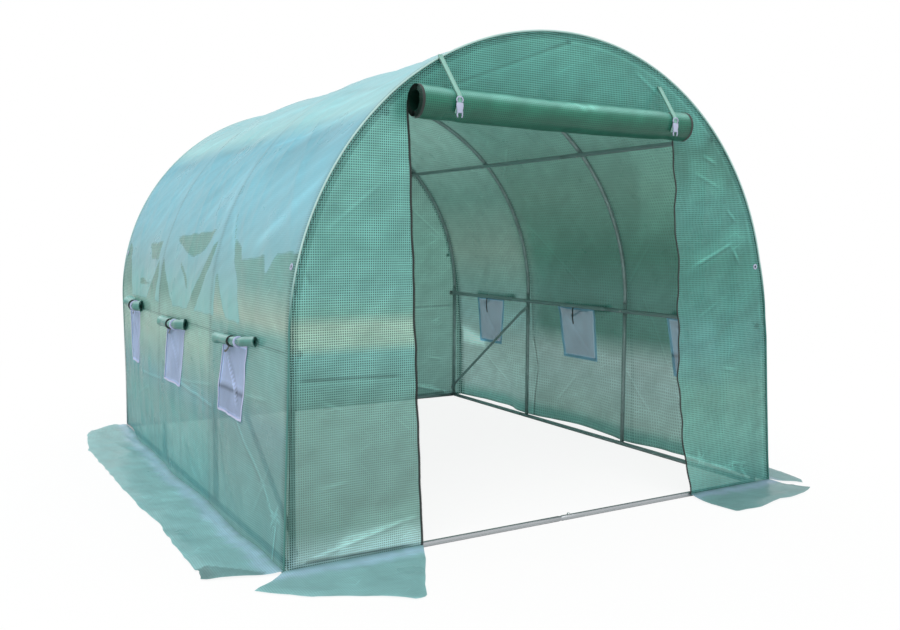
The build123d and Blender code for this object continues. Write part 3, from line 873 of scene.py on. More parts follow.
class TUNNEL_OT_rails(bpy.types.Operator):
    """Ground rails and purlins with their swaged joints"""

    bl_idname = "tunnel.rails"
    bl_label = "Rails and purlins"

    def execute(self, context):
        steel = bpy.data.materials["galvanised_steel"]  # the plain steel that the CAD frame came with
        z = TUBE_RADIUS
        for side, sign in SIDES.items():
            rail, x = f"{side}_ground_rail", sign * HOOP_RADIUS
            start, end = low(rail, 1), high(rail, 1)
            swages = [y - start + 0.05 for y in HOOP_Y[1:-1]]
            surfaces = [straight_tube((x, start, z), (x, end, z), UP, swages=swages)]
            # The spigot that each leg stands on
            surfaces += [straight_tube((x, y, z), (x, y, 2 * z), ALONG, z - 1.5 * MM) for y in HOOP_Y]
            steel_piece(rail, joined(surfaces), steel)
        for rail in ("front_ground_rail", "back_ground_rail"):
            start, end, y = low(rail, 0) - 0.3 * MM, high(rail, 0) + 0.3 * MM, middle(rail, 1)
            surface = straight_tube((start, y, z), (end, y, z), UP, swages=[(end - start) / 2])
            steel_piece(rail, surface, steel)
        for name, (x, z) in PURLINS.items():
            start, end = low(name, 1), high(name, 1)
            swages = [y - start + 0.12 for y in HOOP_Y[1:-1]]
            steel_piece(name, straight_tube((x, start, z), (x, end, z), UP, swages=swages), steel)
        for side in SIDES:
            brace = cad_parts[f"{side}_brace"]
            brace.data.materials.clear()
            brace.data.materials.append(steel)
        caps = moulded_plastic("black_polyethylene", context.scene.tunnel_frame.cap_colour, 0.5, 0.5)
        rim = TUBE_RADIUS + 2 * MM
        profile = [(TUBE_RADIUS, -0.016), (rim, -0.015), (rim, -0.001), (rim - 0.0012, 0.0), (0.004, 0.0005)]
        ends = low("purlin_end_caps", 1), high("purlin_end_caps", 1)
        origins = [(x, end, z) for x, z in PURLINS.values() for end in ends]
        axes = [(0, np.sign(y), 0) for _, y, _ in origins]
        make_piece("purlin_caps", placed(turned(profile, 20), origins, axes), caps,
                   ["purlin_end_caps"])
        return {"FINISHED"}


class TUNNEL_OT_bolts(bpy.types.Operator):
    """Bolts and nuts where purlins, braces and rails are fastened"""

    bl_idname = "tunnel.bolts"
    bl_label = "Bolts"

    def execute(self, context):
        radius = context.scene.tunnel_frame.bolt_radius
        head = turned([(0.003, -0.004), (radius * 0.55, -0.004), (radius * 0.55, 0.0), (radius, 0.0),
                       (radius, 0.0022), (radius * 0.8, 0.0042), (radius * 0.35, 0.0052), (0.0005, 0.0054)], 10)
        origins, axes = [], []
        for x, z in PURLINS.values():
            outward = unit(np.array([x, 0, max(z - SPRING, 0.0)]))
            for y in HOOP_Y:
                origins.append((x, y, z) - outward * TUBE_RADIUS)
                axes.append(-outward)
        for side, sign in SIDES.items():
            brace = f"{side}_brace"
            inner = sign * (HOOP_RADIUS - TUBE_RADIUS - 0.0036)
            feet = {"left": (HOOP_Y[0], HOOP_Y[1]), "right": (HOOP_Y[3], HOOP_Y[2])}[side]
            for y, z in zip(feet, (low(brace, 2) + 0.012, high(brace, 2) - 0.012)):
                origins.append((inner, y, z))
                axes.append((-sign, 0, 0))
        for rail in ("front_ground_rail", "back_ground_rail"):
            origins.append((0.045, middle(rail, 1), 2 * TUBE_RADIUS))
            axes.append((0, 0, 1))
        make_piece("frame_bolts", placed(head, origins, axes), plated_bolt())
        return {"FINISHED"}


# ---- cover


def openings(side):
    """(start, end) along the tunnel of each window on a side."""
    lap = bpy.context.scene.tunnel_windows.net_lap
    return [(start + lap, end - lap) for start, end in NET_STRETCHES[side]]


def opening_heights():
    """Height of the windows' bottom and top edges."""
    lap = bpy.context.scene.tunnel_windows.net_lap
    return NET_HEIGHTS[0] + lap, NET_HEIGHTS[1] - lap


def film_stations():
    """Places along the tunnel for the main cover's grid, with lines on every hoop and window edge."""
    breaks = [y + shift for y in HOOP_Y for shift in (-TUBE_RADIUS, 0, TUBE_RADIUS)]
    breaks = [y for y in breaks if HOOP_Y[0] <= y <= HOOP_Y[-1]]
    return stations(breaks + [place for side in SIDES for window in openings(side) for place in window], 0.0125)


# Angles from the seam at 45 degrees round an end hoop to its crown
OVER_TUBE = np.linspace(pi / 4, 0, 5)[:-1]

# Each window, front to back: where its net's top and bottom edges run, along the tunnel
WINDOW_EDGES = {
    "left": (((-0.845, -0.577), (-0.805, -0.524)), ((-0.035, 0.24), (0.042, 0.302)),
             ((0.839, 1.055), (0.876, 1.03))),
    "right": (((-0.95, -0.681), (-0.988, -0.719)), ((-0.124, 0.162), (-0.133, 0.125)),
              ((0.724, 0.995), (0.774, 0.988))),
}


def clear_of_tube_shadow(distance, full, gone, strength=1.0):
    """Painted shadow on film near a tube: 0 where the tube behind it shows as full shadow, 1 where it is gone.

    It grows evenly with the distance from the tube's centre line; a weaker tube starts above 0.
    """
    return (np.abs(distance) - full) / (gone - full) + 1 - strength


def window_shift(side, y, z):
    """Shift of the film along the tunnel that pulls each window out of square, fading round it.

    Inside a window a straight blend of its four pulled corners; outside, the nearest edge's shift fades.
    """
    bottom, top = opening_heights()
    down = np.clip((top - z) / (top - bottom), 0, 1)
    fade_z = ease((z - 0.05) / (bottom - 0.05)) * ease((SPRING + 0.35 - z) / (SPRING + 0.35 - top))
    shift = np.zeros_like(y)
    for (start, end), edges in zip(openings(side), WINDOW_EDGES[side]):
        across = np.clip((y - start) / (end - start), 0, 1)
        at_head, at_foot = (edge[0] - start + (edge[1] - edge[0] - end + start) * across for edge in edges)
        outside = np.maximum(np.maximum(start - y, y - end), 0)
        shift += fade_z * ease(1 - outside / 0.17) * (at_head * (1 - down) + at_foot * down)
    return shift


def main_cover_points(y, s):
    """Points of the main cover: hoop line plus offset along the normal, leaned round the windows.

    The first and last columns wrap an eighth of a turn round the end hoops to the seams. Below the
    arch the film also leans out by its flare.
    """
    x0, z0, nx, nz = (a[:, None] for a in around(s))
    yy, ss = np.meshgrid(y, s)
    lift = cover_offset(yy, ss)
    for side, sign in SIDES.items():
        yy = yy + np.where(np.sign(x0) == sign, window_shift(side, yy, np.broadcast_to(z0, yy.shape)), 0)
    columns = [together(x0 + nx * lift, yy, z0 + nz * lift)]
    for end, y_end in END_Y.items():
        turn = OVER_TUBE[::-end]
        lift = FILM_LIFT * np.cos(turn)[None]
        wrap = together(x0 + nx * lift, y_end + end * FILM_LIFT * np.sin(turn)[None], z0 + nz * lift)
        columns.insert(0 if end < 0 else 2, wrap)
    points = np.concatenate(columns, axis=1)
    for sign in SIDES.values():
        lean = sign * flare(sign, points[..., 1], points[..., 2])
        points[..., 0] += np.where(np.sign(points[..., 0]) == sign, lean, 0)
    return points


SKY_REFLECTION_FROM = 0.735  # way up the film where the painted reflection of the sky starts

# Patches of the cover that the painted reflection of the sky leaves bare, as corners (place along the tunnel,
# way up the film)
BARE_PATCHES = (
    ((-1.24, 0.985), (-1.05, 0.985), (-0.975, 0.9), (-0.93, 0.97), (-0.8, 0.96), (-0.71, 0.95),
     (-0.68, 1.0), (-0.56, 1.03), (-0.5, 1.13), (-0.62, 0.95), (-0.7, 0.88), (-0.74, 0.8), (-0.78, 0.7),
     (-1.24, 0.7)),
    ((-0.64, 0.7), (-0.45, 0.9), (-0.45, 0.7)),
    ((-0.375, 1.02), (-0.33, 0.99), (-0.2, 0.87), (-0.1, 0.78), (0.0, 0.7), (-0.13, 0.7), (-0.25, 0.83),
     (-0.37, 0.97)),
    ((-0.305, 1.064), (0.267, 1.035), (0.07, 0.976), (-0.06, 0.954), (-0.195, 0.987)),
    ((0.16, 0.7), (0.25, 0.79), (0.4, 0.93), (0.43, 0.7)),
    ((-0.03, 0.82), (0.09, 0.9), (0.11, 0.92), (0.0, 0.87)),
    ((0.51, 1.01), (0.74, 0.998), (0.66, 0.93), (0.51, 0.93)),
    ((0.48, 0.93), (0.52, 0.88), (0.65, 0.77), (0.7, 0.7), (0.55, 0.7), (0.46, 0.85)),
    ((0.64, 0.81), (0.82, 0.833), (0.795, 0.8)),
    ((1.0, 0.7), (1.04, 0.82), (1.13, 0.97), (1.2, 1.0), (1.26, 0.7)),
)

# Fold lines on each side of the cover, drawn as painted highlight and shade, in the same coordinates:
# start, end and strength
COVER_FOLDS = {
    "left": (
        (-1.07, 0.515, -0.86, 0.495, 0.3), (-0.46, 0.48, 0.02, 0.427, 0.3), (-0.48, 0.394, 0.03, 0.417, 0.5),
        (0.32, 0.394, 0.75, 0.372, 0.35), (-1.16, 0.13, -0.77, 0.43, 0.6), (-1.1, 0.33, -0.93, 0.1, 0.2),
        (0.6, 0.33, 0.86, 0.22, 0.2), (0.95, 0.3, 1.08, 0.12, 0.3), (-1.22, 0.15, -1.08, 0.17, 0.9),
        (-1.2, 0.21, -1.1, 0.1, 0.8), (-1.17, 0.16, -1.13, -0.02, 0.9), (-1.14, 1.57, -0.78, 1.47, 0.12),
        (-0.8, 1.475, -0.42, 1.43, 0.12),
    ),
    "right": (
        (0.43, -0.03, 0.385, 0.31, -0.8), (0.385, 0.27, 0.43, 0.5, -0.8), (0.43, 0.46, 0.42, 0.75, -0.6),
        (-0.55, 0.16, -0.35, 0.4, 0.25), (-0.1, 0.78, 0.35, 1.12, 0.25), (0.02, 0.3, 0.25, 0.12, 0.25),
        (-0.7, 0.42, -0.5, 0.78, 0.25), (0.5, 1.45, 0.95, 1.62, 0.25), (0.1, 1.62, 0.35, 1.42, 0.3),
        (0.66, 0.13, 0.95, 0.33, 0.25), (-0.62, 1.02, -0.4, 0.8, 0.3),
    ),
}

# Painted light and shade of the long soft folds: broad soft streaks on the left of the cover, repeated on the
# right: start, end, half width and gain
SOFT_FOLD_LIGHT = (
    (-1.26, 1.27, -0.76, 0.97, 0.024, 0.22), (-1.16, 1.57, -0.78, 1.475, 0.016, 0.12),
    (-0.82, 1.48, -0.42, 1.43, 0.014, 0.12), (-0.35, 1.42, -0.35, 1.02, 0.03, 0.14),
    (-0.38, 1.36, 0.0, 1.06, 0.016, 0.12), (0.46, 1.4, 0.8, 1.03, 0.022, 0.12),
    (-0.62, 0.95, -0.44, 1.16, 0.014, 0.15), (-1.12, 1.4, -0.5, 1.3, 0.07, -0.14),
    (-1.1, 1.5, -0.6, 1.36, 0.03, -0.12), (-0.32, 1.49, 0.4, 1.47, 0.022, -0.16),
    (-0.25, 1.28, 0.3, 1.17, 0.05, -0.08), (0.5, 1.5, 1.15, 1.42, 0.04, -0.08),
    (-1.2, 1.73, -0.5, 1.6, 0.02, 0.12), (-0.3, 1.78, 0.55, 1.62, 0.025, 0.12),
    (-1.2, 1.66, -0.45, 1.78, 0.018, -0.1), (0.45, 1.66, 1.15, 1.55, 0.025, 0.12),
    (-1.05, 0.32, -0.4, 0.06, 0.03, 0.07), (-0.3, 0.36, 0.2, 0.02, 0.03, 0.07),
)

# Painted light and shade on the cover's inside, as lighter and darker patches: corners as above, and the factor
INNER_LIGHT_PATCHES = (
    (((-1.24, 1.15), (-0.74, 1.1), (-0.55, 1.02), (-0.74, 1.5), (-1.24, 1.6)), 1.35),
    (((0.09, 1.02), (0.34, 0.72), (0.42, 0.72), (0.42, 1.15)), 1.18),
    (((0.92, 0.41), (1.22, 0.46), (1.22, 0.36), (0.94, 0.36)), 2.0),
    (((-0.38, 1.1), (-0.05, 0.95), (0.12, 0.72), (-0.38, 0.72)), 0.92),
)

# How strongly the painted shadows of the middle hoops show through the film, by way up the film
HOOP_SHADOWS = ([0.0, 0.35, 0.6, 0.8, 1.15, 1.35, 1.6, 1.8], [0.25, 0.25, 0.35, 0.75, 0.7, 0.5, 0.25, 0.15])


def blended(first, second, share):
    """Colours that go over from the first to the second by a share 0 to 1."""
    return first + (second - first) * share[..., None]


def patched(tone, u, v, patches, soft):
    """Tone made lighter or darker inside some patches, each given as corners and a factor."""
    for corners, factor in patches:
        tone = tone * (1 + (factor - 1) * in_patch(u, v, corners, soft))[..., None]
    return tone


def cover_paint(y, s, points):
    """Attributes of the main cover: tones by height with painted light and shade, the edge of the painted
    reflection of the sky, painted shadows of the tubes behind it and fold lines.

    The painted reflection covers everything above the wall's top except the bare patches; the right side has
    the same patches from the back end forwards.
    """
    along, up = np.meshgrid(y, np.minimum(s, COVER_LENGTH - s))
    left = (s < COVER_LENGTH / 2)[:, None]
    place = np.where(left, along, -along)
    sky = up - SKY_REFLECTION_FROM
    for patch in BARE_PATCHES:
        sky = np.minimum(sky, patch_distance(place, up, patch))
    # The soft streaks paint light and shade on the outside and on the sky reflection
    gain = 1 + sum(strength * streak(place, up, line, half) for *line, half, strength in SOFT_FOLD_LIGHT)
    outer = blended(toned("wall_near", up), toned("wall_far", up), ease((place + 0.47) / 0.1)) * gain[..., None]
    inner = blended(toned("inner_near", up), toned("inner_far", up), ease((along - 0.3) / 0.25))
    # Painted shadows of the hoops and purlins that lie right behind the film
    strengths = [0.9, *[np.interp(up, *HOOP_SHADOWS)] * 2, 0.9]
    behind = np.minimum.reduce([clear_of_tube_shadow(points[..., 1] - y_hoop, 0.008, 0.036, strength)
                                for y_hoop, strength in zip(HOOP_Y, strengths)])
    for x, z in PURLINS.values():
        rise = SPRING + HOOP_RADIUS * np.arcsin(min(1.0, (z - SPRING) / HOOP_RADIUS)) if z > SPRING else z
        distance = up - (rise if x else COVER_LENGTH / 2)
        behind = np.minimum(behind, clear_of_tube_shadow(distance, 0.004, 0.013, 0.6 if z < SPRING else 0.2))
    folds = zip(*(fold_lines(along, up, COVER_FOLDS[side]) for side in SIDES))
    fold, shown = (np.where(left, *pair) for pair in folds)
    return {"Outer": outer, "Inner": patched(inner, along, up, INNER_LIGHT_PATCHES, 0.06),
            "SkyReflection": toned("sky_reflection", up) * gain[..., None], "Sky": sky, "ClearOfTubeShadow": behind, "Fold": fold,
            "Shown": shown}


class TUNNEL_OT_main_cover(bpy.types.Operator):
    """The one sheet that runs from the left ground line over the hoops to the right"""

    bl_idname = "tunnel.main_cover"
    bl_label = "Main cover"

    def execute(self, context):
        y = film_stations()
        bottom, top = opening_heights()
        wall = stations([0.004, bottom, top, SPRING], 0.0125)
        arch = stations([SPRING, COVER_LENGTH - SPRING], 0.0135)
        s = np.concatenate([wall[:-1], arch, (COVER_LENGTH - wall[:-1])[::-1]])
        points = main_cover_points(y, s)
        bend = FILM_LIFT * (pi / 4 - OVER_TUBE)
        wrap = FILM_LIFT * pi / 4
        flat_y = np.concatenate([y[0] - wrap + bend, y, y[-1] + (wrap - bend)[::-1]])
        middle_y, middle_s = (flat_y[1:] + flat_y[:-1]) / 2, (s[1:] + s[:-1]) / 2
        keep = np.ones((len(middle_s), len(middle_y)), bool)
        for side, sign in SIDES.items():
            up = middle_s if sign < 0 else COVER_LENGTH - middle_s
            for start, end in openings(side):
                columns = (middle_y > start) & (middle_y < end)
                keep &= ~(((up > bottom) & (up < top))[:, None] & columns[None])
        start, end = openings("left")[0]
        material = reinforced_film("reinforced_film_cover", weave=0.05)
        surface = sheet_surface(points, together(flat_y[None], s[:, None]), keep, flip=True)
        piece = make_piece("main_cover", surface, material,
                           ["roof_cover", "left_wall_cover", "right_wall_cover"],
                           values=cover_paint(flat_y, s, points))
        return {"FINISHED"}


def seam_point(s, end):
    """Point on the seam line at 45 degrees round an end hoop, by distance up from the left foot."""
    x0, z0, nx, nz = around(s)
    points = together(x0 + nx * SEAM_LIFT, END_Y[end] + end * SEAM_LIFT, z0 + nz * SEAM_LIFT)
    points[:, 0] += np.where(x0 < 0, -flare(-1, *points[:, 1:].T), flare(1, *points[:, 1:].T))
    return points


def gable_offset(x, z, end):
    """How far a gable sheet stands out: soft folds and creases inside the hoop, none on it."""
    inside = ease((HOOP_RADIUS - 0.01 - hoop_distance(x, z)) / 0.18)
    seed = 30 if end < 0 else 50
    wave = soft_folds(x, z, (seed, 0.005, 85, 0.11, 0.9), (seed + 1, 0.004, 35, 0.14, 0.7),
                      (seed + 2, 0.0035, -40, 0.16, 0.8)) - 0.005
    wave += 0.0012 * noise(seed + 3, x, z, 0.06, 0.06)
    return wave * inside * ease(z / 0.15)


def rim_x(z, end, sign):
    """x of a gable's rim at a height on the left (-1) or right (1): the seam, leaned out by the flare."""
    rise = np.clip(z - SPRING, 0, SEAM_RADIUS)
    seam = np.where(z > SPRING, np.sqrt(np.maximum(SEAM_RADIUS**2 - rise**2, 0)), SEAM_RADIUS)
    return sign * (seam + flare(sign, END_Y[end] + end * SEAM_LIFT + 0 * z, z))


# x of the doorway's two edges, by height
DOOR_EDGES = {"left": ([0.0, 0.49, 1.15, 1.48, 1.6], [-0.583, -0.602, -0.626, -0.641, -0.645]),
              "right": ([0.0, 0.03, 0.286, 0.416, 1.005, 1.364, 1.6],
                        [0.652, 0.648, 0.593, 0.585, 0.544, 0.515, 0.5])}


def door_edge(side, z):
    """x of the doorway's edge at a height: nearly straight on the left, slowly waved on the right."""
    wave = 0.006 * np.sin(z * 21.0 + 0.6) + 0.004 * np.sin(z * 9.0) + 0.003 * np.sin(z * 47.0)
    return np.interp(z, *DOOR_EDGES[side]) + wave * (1.0 if side == "right" else 0.25)


# Fold lines of the front gable, drawn as painted highlight and shade, as (x, height), mirrored on the back
# one: start, end and strength
GABLE_FOLDS = (
    (-1.0, 0.03, -0.63, 0.115, 0.9), (-1.03, 0.598, -0.64, 0.59, -0.5), (-0.95, 0.53, -0.85, 0.49, 0.5),
    (-0.96, 0.49, -0.89, 0.47, 0.4), (-0.96, 0.25, -0.83, 0.27, 0.5), (0.57, 0.195, 0.76, 0.13, 0.9),
    (0.74, 0.135, 0.93, 0.07, 0.8), (0.72, 0.12, 0.685, 0.21, 0.6), (0.63, 0.93, 0.86, 1.03, 0.8),
    (0.62, 1.3, 0.78, 1.24, 0.5), (0.3, 1.66, 0.46, 1.56, 0.5), (-0.56, 1.5, 0.03, 1.735, -0.35),
    (-0.93, 1.05, -0.72, 1.22, 0.25), (0.8, 0.52, 0.92, 0.5, 0.5), (0.66, 0.72, 0.8, 0.8, 0.3),
    (-1.03, 0.028, -0.6, 0.02, -0.9), (-0.9, 0.075, -0.58, 0.12, 0.6), (0.66, 1.37, 0.76, 1.33, 0.9),
    (0.8, 1.17, 0.88, 1.1, 0.7), (0.84, 1.02, 0.9, 0.93, 0.8), (0.93, 0.1, 0.99, 0.03, 0.9),
    (0.86, 0.12, 0.99, 0.1, 0.7), (-0.985, 0.94, -0.965, 0.88, -0.6),
)

# Painted highlights on the gables, as lighter patches: corners as (x, height), and the factor
GABLE_HIGHLIGHTS = (
    (((-0.82, 0.16), (-0.6, 0.16), (-0.6, 0.02), (-0.9, 0.02)), 1.3),
    (((0.6, 0.9), (0.66, 0.98), (0.88, 1.1), (0.92, 1.04)), 1.25),
    (((0.6, 1.17), (0.6, 1.36), (0.74, 1.36), (0.82, 1.22)), 1.2),
)


def gable_paint(x, z, end, past_hoop):
    """Attributes of a gable: tones by height and side with painted light and shade, a painted highlight along
    its rim, painted shadows of tubes behind it and folds.

    past_hoop is the distance out from the hoop's centre line.
    """
    outer = blended(toned("gable_left", z), toned("gable_right", z), ease((x + 0.55) / 0.9))
    outer = blended(outer, toned("gable_crown", z), ease((z - 1.36) / 0.08) * ease((0.72 - np.abs(x)) / 0.06))
    # The hem laps back double along the arch
    # Painted highlight where the film rounds over the hoop along the arch: full on the right, a fifth as strong
    # on the left
    lap = ease((past_hoop + 0.03) / 0.006)
    outer = outer * (1 + 0.22 * lap * np.where(x > 0, 1.0, 0.2))[..., None]
    outer = patched(outer, x, z, GABLE_HIGHLIGHTS, 0.05)
    # Painted shadows of the hoop behind the rim and of the ground rail behind the foot
    behind = np.minimum(clear_of_tube_shadow(past_hoop + 0.003, 0.013, 0.016),
                        clear_of_tube_shadow(z - TUBE_RADIUS, 0.01, 0.014, 0.6))
    # Painted shadows where the capped ends of the purlins press against the film
    for x_end, z_end in PURLINS.values():
        behind = np.minimum(behind, clear_of_tube_shadow(np.hypot(x - x_end, z - z_end), 0.01, 0.016))
    fold, shown = fold_lines(-end * x, z, GABLE_FOLDS)
    return {"Outer": outer, "Inner": toned("gable_inner", z), "SkyReflection": outer, "Sky": np.full(z.shape, -0.1),
            "ClearOfTubeShadow": behind, "Fold": fold, "Shown": shown}


def gable_sheet(name, columns, rows, edge_from, edge_to, end, replaces, material):
    """Sheet of a gable between two edges: x runs from one edge to the other at each height.

    y is the gable plane plus its folds; the strip over the hoop bends back to the seam.
    """
    x_from, x_to = edge_from(rows)[:, None], edge_to(rows)[:, None]
    x, z = np.broadcast_arrays(x_from + (x_to - x_from) * columns[None], rows[:, None])
    at_hoop = END_Y[end] + 0 * z
    past_hoop = hoop_distance(x, z) - np.where(x < 0, flare(-1, at_hoop, z), flare(1, at_hoop, z)) - HOOP_RADIUS
    bend = FILM_LIFT - np.sqrt(FILM_LIFT**2 - np.clip(past_hoop, 0, SEAM_LIFT) ** 2)
    points = together(x, END_Y[end] + end * (FILM_LIFT - bend + gable_offset(x, z, end)), z)
    piece = make_piece(name, sheet_surface(points, together(x, z), flip=end > 0), material, replaces,
                       values=gable_paint(x, z, end, past_hoop))
    return piece


def rim_rows(bottom, top, step=0.012):
    """Heights for a gable's rows, closer together near the crown where the rim turns level."""
    angle = np.arcsin(np.clip((np.array([max(bottom, SPRING), top]) - SPRING) / SEAM_RADIUS, 0, 1))
    count = max(2, int(ceil((angle[1] - angle[0]) * SEAM_RADIUS / step)))
    arc = SPRING + SEAM_RADIUS * np.sin(np.linspace(angle[0], angle[1], count))
    if bottom < SPRING:
        return np.concatenate([stations([bottom, SPRING], step)[:-1], arc])
    return arc


class TUNNEL_OT_gables(bpy.types.Operator):
    """Both ends of the cover: the sheets beside and over the doorway, and the closed back"""

    bl_idname = "tunnel.gables"
    bl_label = "Gables"

    def execute(self, context):
        material = reinforced_film("reinforced_film_gable", weave=0.17, haze=0.42)
        left_edge, right_edge = partial(door_edge, "left"), partial(door_edge, "right")
        left_rim, right_rim = partial(rim_x, end=-1, sign=-1), partial(rim_x, end=-1, sign=1)
        foot = 0.006
        crown = SPRING + SEAM_RADIUS * 0.99999  # just below the point where both rims meet
        # The side sheets end where the doorway's edges, near these x, meet the seam
        left_top, right_top = (SPRING + (SEAM_RADIUS**2 - x**2) ** 0.5 for x in (0.6445, 0.5085))
        columns = stations([0, 1], 0.027)
        gable_sheet("front_left_film", columns, rim_rows(foot, left_top), left_rim, left_edge, -1,
                    ["front_left_panel"], material)
        gable_sheet("front_right_film", columns, rim_rows(foot, right_top), right_edge, right_rim, -1,
                    ["front_right_panel"], material)
        gable_sheet("front_top_film", stations([0, 1], 0.011), rim_rows(DOOR_TOP, crown),
                    lambda z: np.maximum(left_edge(z), left_rim(z)),
                    lambda z: np.minimum(right_edge(z), right_rim(z)),
                    -1, ["front_top_panel"], material)
        gable_sheet("back_film", stations([0, 1], 0.0068), rim_rows(foot, crown, 0.014),
                    partial(rim_x, end=1, sign=-1), partial(rim_x, end=1, sign=1), 1, ["back_wall_cover"],
                    material)
        return {"FINISHED"}


# Each skirt's outer edge, as (place along its wall, reach out from the wall)
SKIRT_EDGES = {
    "left": [(-1.177, 0.215), (-1.167, 0.235), (-1.095, 0.213), (-1.084, 0.229), (-0.8, 0.225), (-0.56, 0.215),
             (-0.3, 0.232), (0.07, 0.236), (0.5, 0.242), (0.75, 0.246), (1.1, 0.2), (1.215, 0.16),
             (1.33, 0.02)],
    "right": [(-1.335, 0.105), (-1.3, 0.14), (-1.22, 0.165), (-1.11, 0.18), (-0.8, 0.21), (-0.3, 0.2),
              (0.2, 0.212), (0.7, 0.202), (1.24, 0.208)],
    "back": [(-0.95, 0.13), (-0.84, 0.3), (-0.5, 0.35), (0.0, 0.362), (0.6, 0.35), (0.98, 0.33), (1.08, 0.14)],
    "front_left": [(-1.186, 0.081), (-1.12, 0.15), (-1.056, 0.209), (-0.902, 0.284), (-0.801, 0.371),
                   (-0.765, 0.366), (-0.727, 0.283), (-0.62, 0.1), (-0.576, 0.004)],
    "front_right": [(0.655, 0.006), (0.647, 0.125), (0.663, 0.235), (0.791, 0.244), (0.944, 0.203),
                    (0.995, 0.215), (1.107, 0.194), (1.203, 0.144), (1.149, 0.08)],
}

# Corners of the tab folded back at the front end of the left skirt, on the ground, which is painted in shade
TAB = ((-1.256, -1.077), (-1.111, -1.208), (-1.129, -1.26), (-1.36, -1.21), (-1.36, -1.1))

# Painted light and shade: how much lighter or darker each skirt is painted than the plain skirt film
SKIRT_LIGHT_GAINS = {"left": 1.22, "front_left": 1.15, "front_right": 0.78, "right": 0.78}


def skirt_surface(name, foot, outward, seed):
    """Strip from the wall's foot to its outer edge: straight across, with ripples that grow outwards.

    foot gives points along the foot of the wall, outward the direction away from it.
    """
    places, reach = (np.array(v, float) for v in zip(*SKIRT_EDGES[name]))
    span = np.ptp(places)
    away = np.abs(outward)
    along_wall = ACROSS if away[1] > 0 else ALONG
    edge = places[:, None] * along_wall + (foot[0] @ away + np.sign(outward.sum()) * reach)[:, None] * away
    t, u = stations([0, 1], 0.011 / span), stations([0, 1], 0.045)
    base, tip = (together(*(np.interp(t, travelled(line) / travelled(line)[-1], line[:, k]) for k in range(3)))
                 for line in (foot, edge))
    tip = tip + outward * 0.004 * noise(seed, t * span, 0 * t, 0.05, 1)[:, None]
    points = base[:, None] * (1 - u)[None, :, None] + tip[:, None] * u[None, :, None]
    w, d = points @ along_wall, np.linalg.norm(points - base[:, None], axis=-1)
    ripple = soft_folds(w, d, (seed + 1, 0.003, 88, 0.07, 0.5), (seed + 2, 0.004, 10, 0.08, 0.5))
    ripple += 0.003 * (1 + noise(seed + 3, w, d, 0.12, 0.1))
    points[..., 2] = 0.0015 + ripple * ease(d / 0.05) * (1 - 0.5 * ease((u[None] - 0.8) / 0.2)) + (
        0.012 * bell(d / 0.03))
    return points, together(w, d)


def plain_paint(tone, inner):
    """Attributes of film with no painted reflection of the sky, no painted tube shadows and no fold lines."""
    still = np.zeros(tone.shape[:-1])
    return {"Outer": tone, "Inner": inner, "SkyReflection": tone, "Sky": still - 0.1, "ClearOfTubeShadow": still + 1,
            "Fold": still + 0.05, "Shown": still}


class TUNNEL_OT_skirts(bpy.types.Operator):
    """Skirts of the cover, lying on the ground round the tunnel"""

    bl_idname = "tunnel.skirts"
    bl_label = "Skirts"

    def execute(self, context):
        film = context.scene.tunnel_film
        material = reinforced_film("reinforced_film_skirt", weave=0.1, haze=0.88, haze_inside=0.88)
        y = stations([GABLE_Y, BACK_Y], 0.02)
        feet = {"back": (rim_x(0.0, 1, -1), rim_x(0.0, 1, 1), BACK_Y),
                "front_left": (rim_x(0.0, -1, -1), door_edge("left", 0.0), GABLE_Y),
                "front_right": (door_edge("right", 0.0), rim_x(0.0, -1, 1), GABLE_Y)}
        plans = {side: (together(sign * (COVER_MIDDLE + flare(sign, y, 0 * y)), y, 0.0), sign * ACROSS)
                 for side, sign in SIDES.items()}
        for name, (start, end, y_foot) in feet.items():
            plans[name] = (together(np.linspace(float(start), float(end), 9), y_foot, 0.0),
                           ALONG if name == "back" else -ALONG)
        for seed, (name, (foot, outward)) in enumerate(plans.items()):
            points, uv = skirt_surface(name, foot, outward, 70 + 5 * seed)
            depth = uv[..., 1]
            base = np.array(film.skirt_colour[:3]) * SKIRT_LIGHT_GAINS.get(name, 1.0)
            # Painted shade in the crease at the heel, then a ragged pale blue painted highlight that fades
            # outwards.
            tone = base * (0.85 + 0.15 * ease((depth - 0.004) / 0.02))[..., None]
            # The folded tab lies in painted shade, deepest towards its left end
            if name == "left":
                tab = in_patch(points[..., 0], points[..., 1], TAB, 0.004)
                tone = tone * (1 - 0.36 * tab * (1 + 0.4 * ease((-1.24 - points[..., 0]) / 0.03)))[..., None]
            ragged = depth - 0.035 - 0.012 * noise(90 + seed, uv[..., 0], depth, 0.03, 0.05)
            tone = tone + np.array([0.1, 0.06, 0.17]) * bell(ragged / 0.028)[..., None]
            faces_up = np.cross(points[1, 0] - points[0, 0], points[0, 1] - points[0, 0])[2]
            surface = sheet_surface(points, uv, flip=faces_up > 0)
            piece = make_piece(f"{name}_skirt_film", surface, material, [f"{name}_skirt"],
                               values=plain_paint(tone, tone * 0.9))
        return {"FINISHED"}


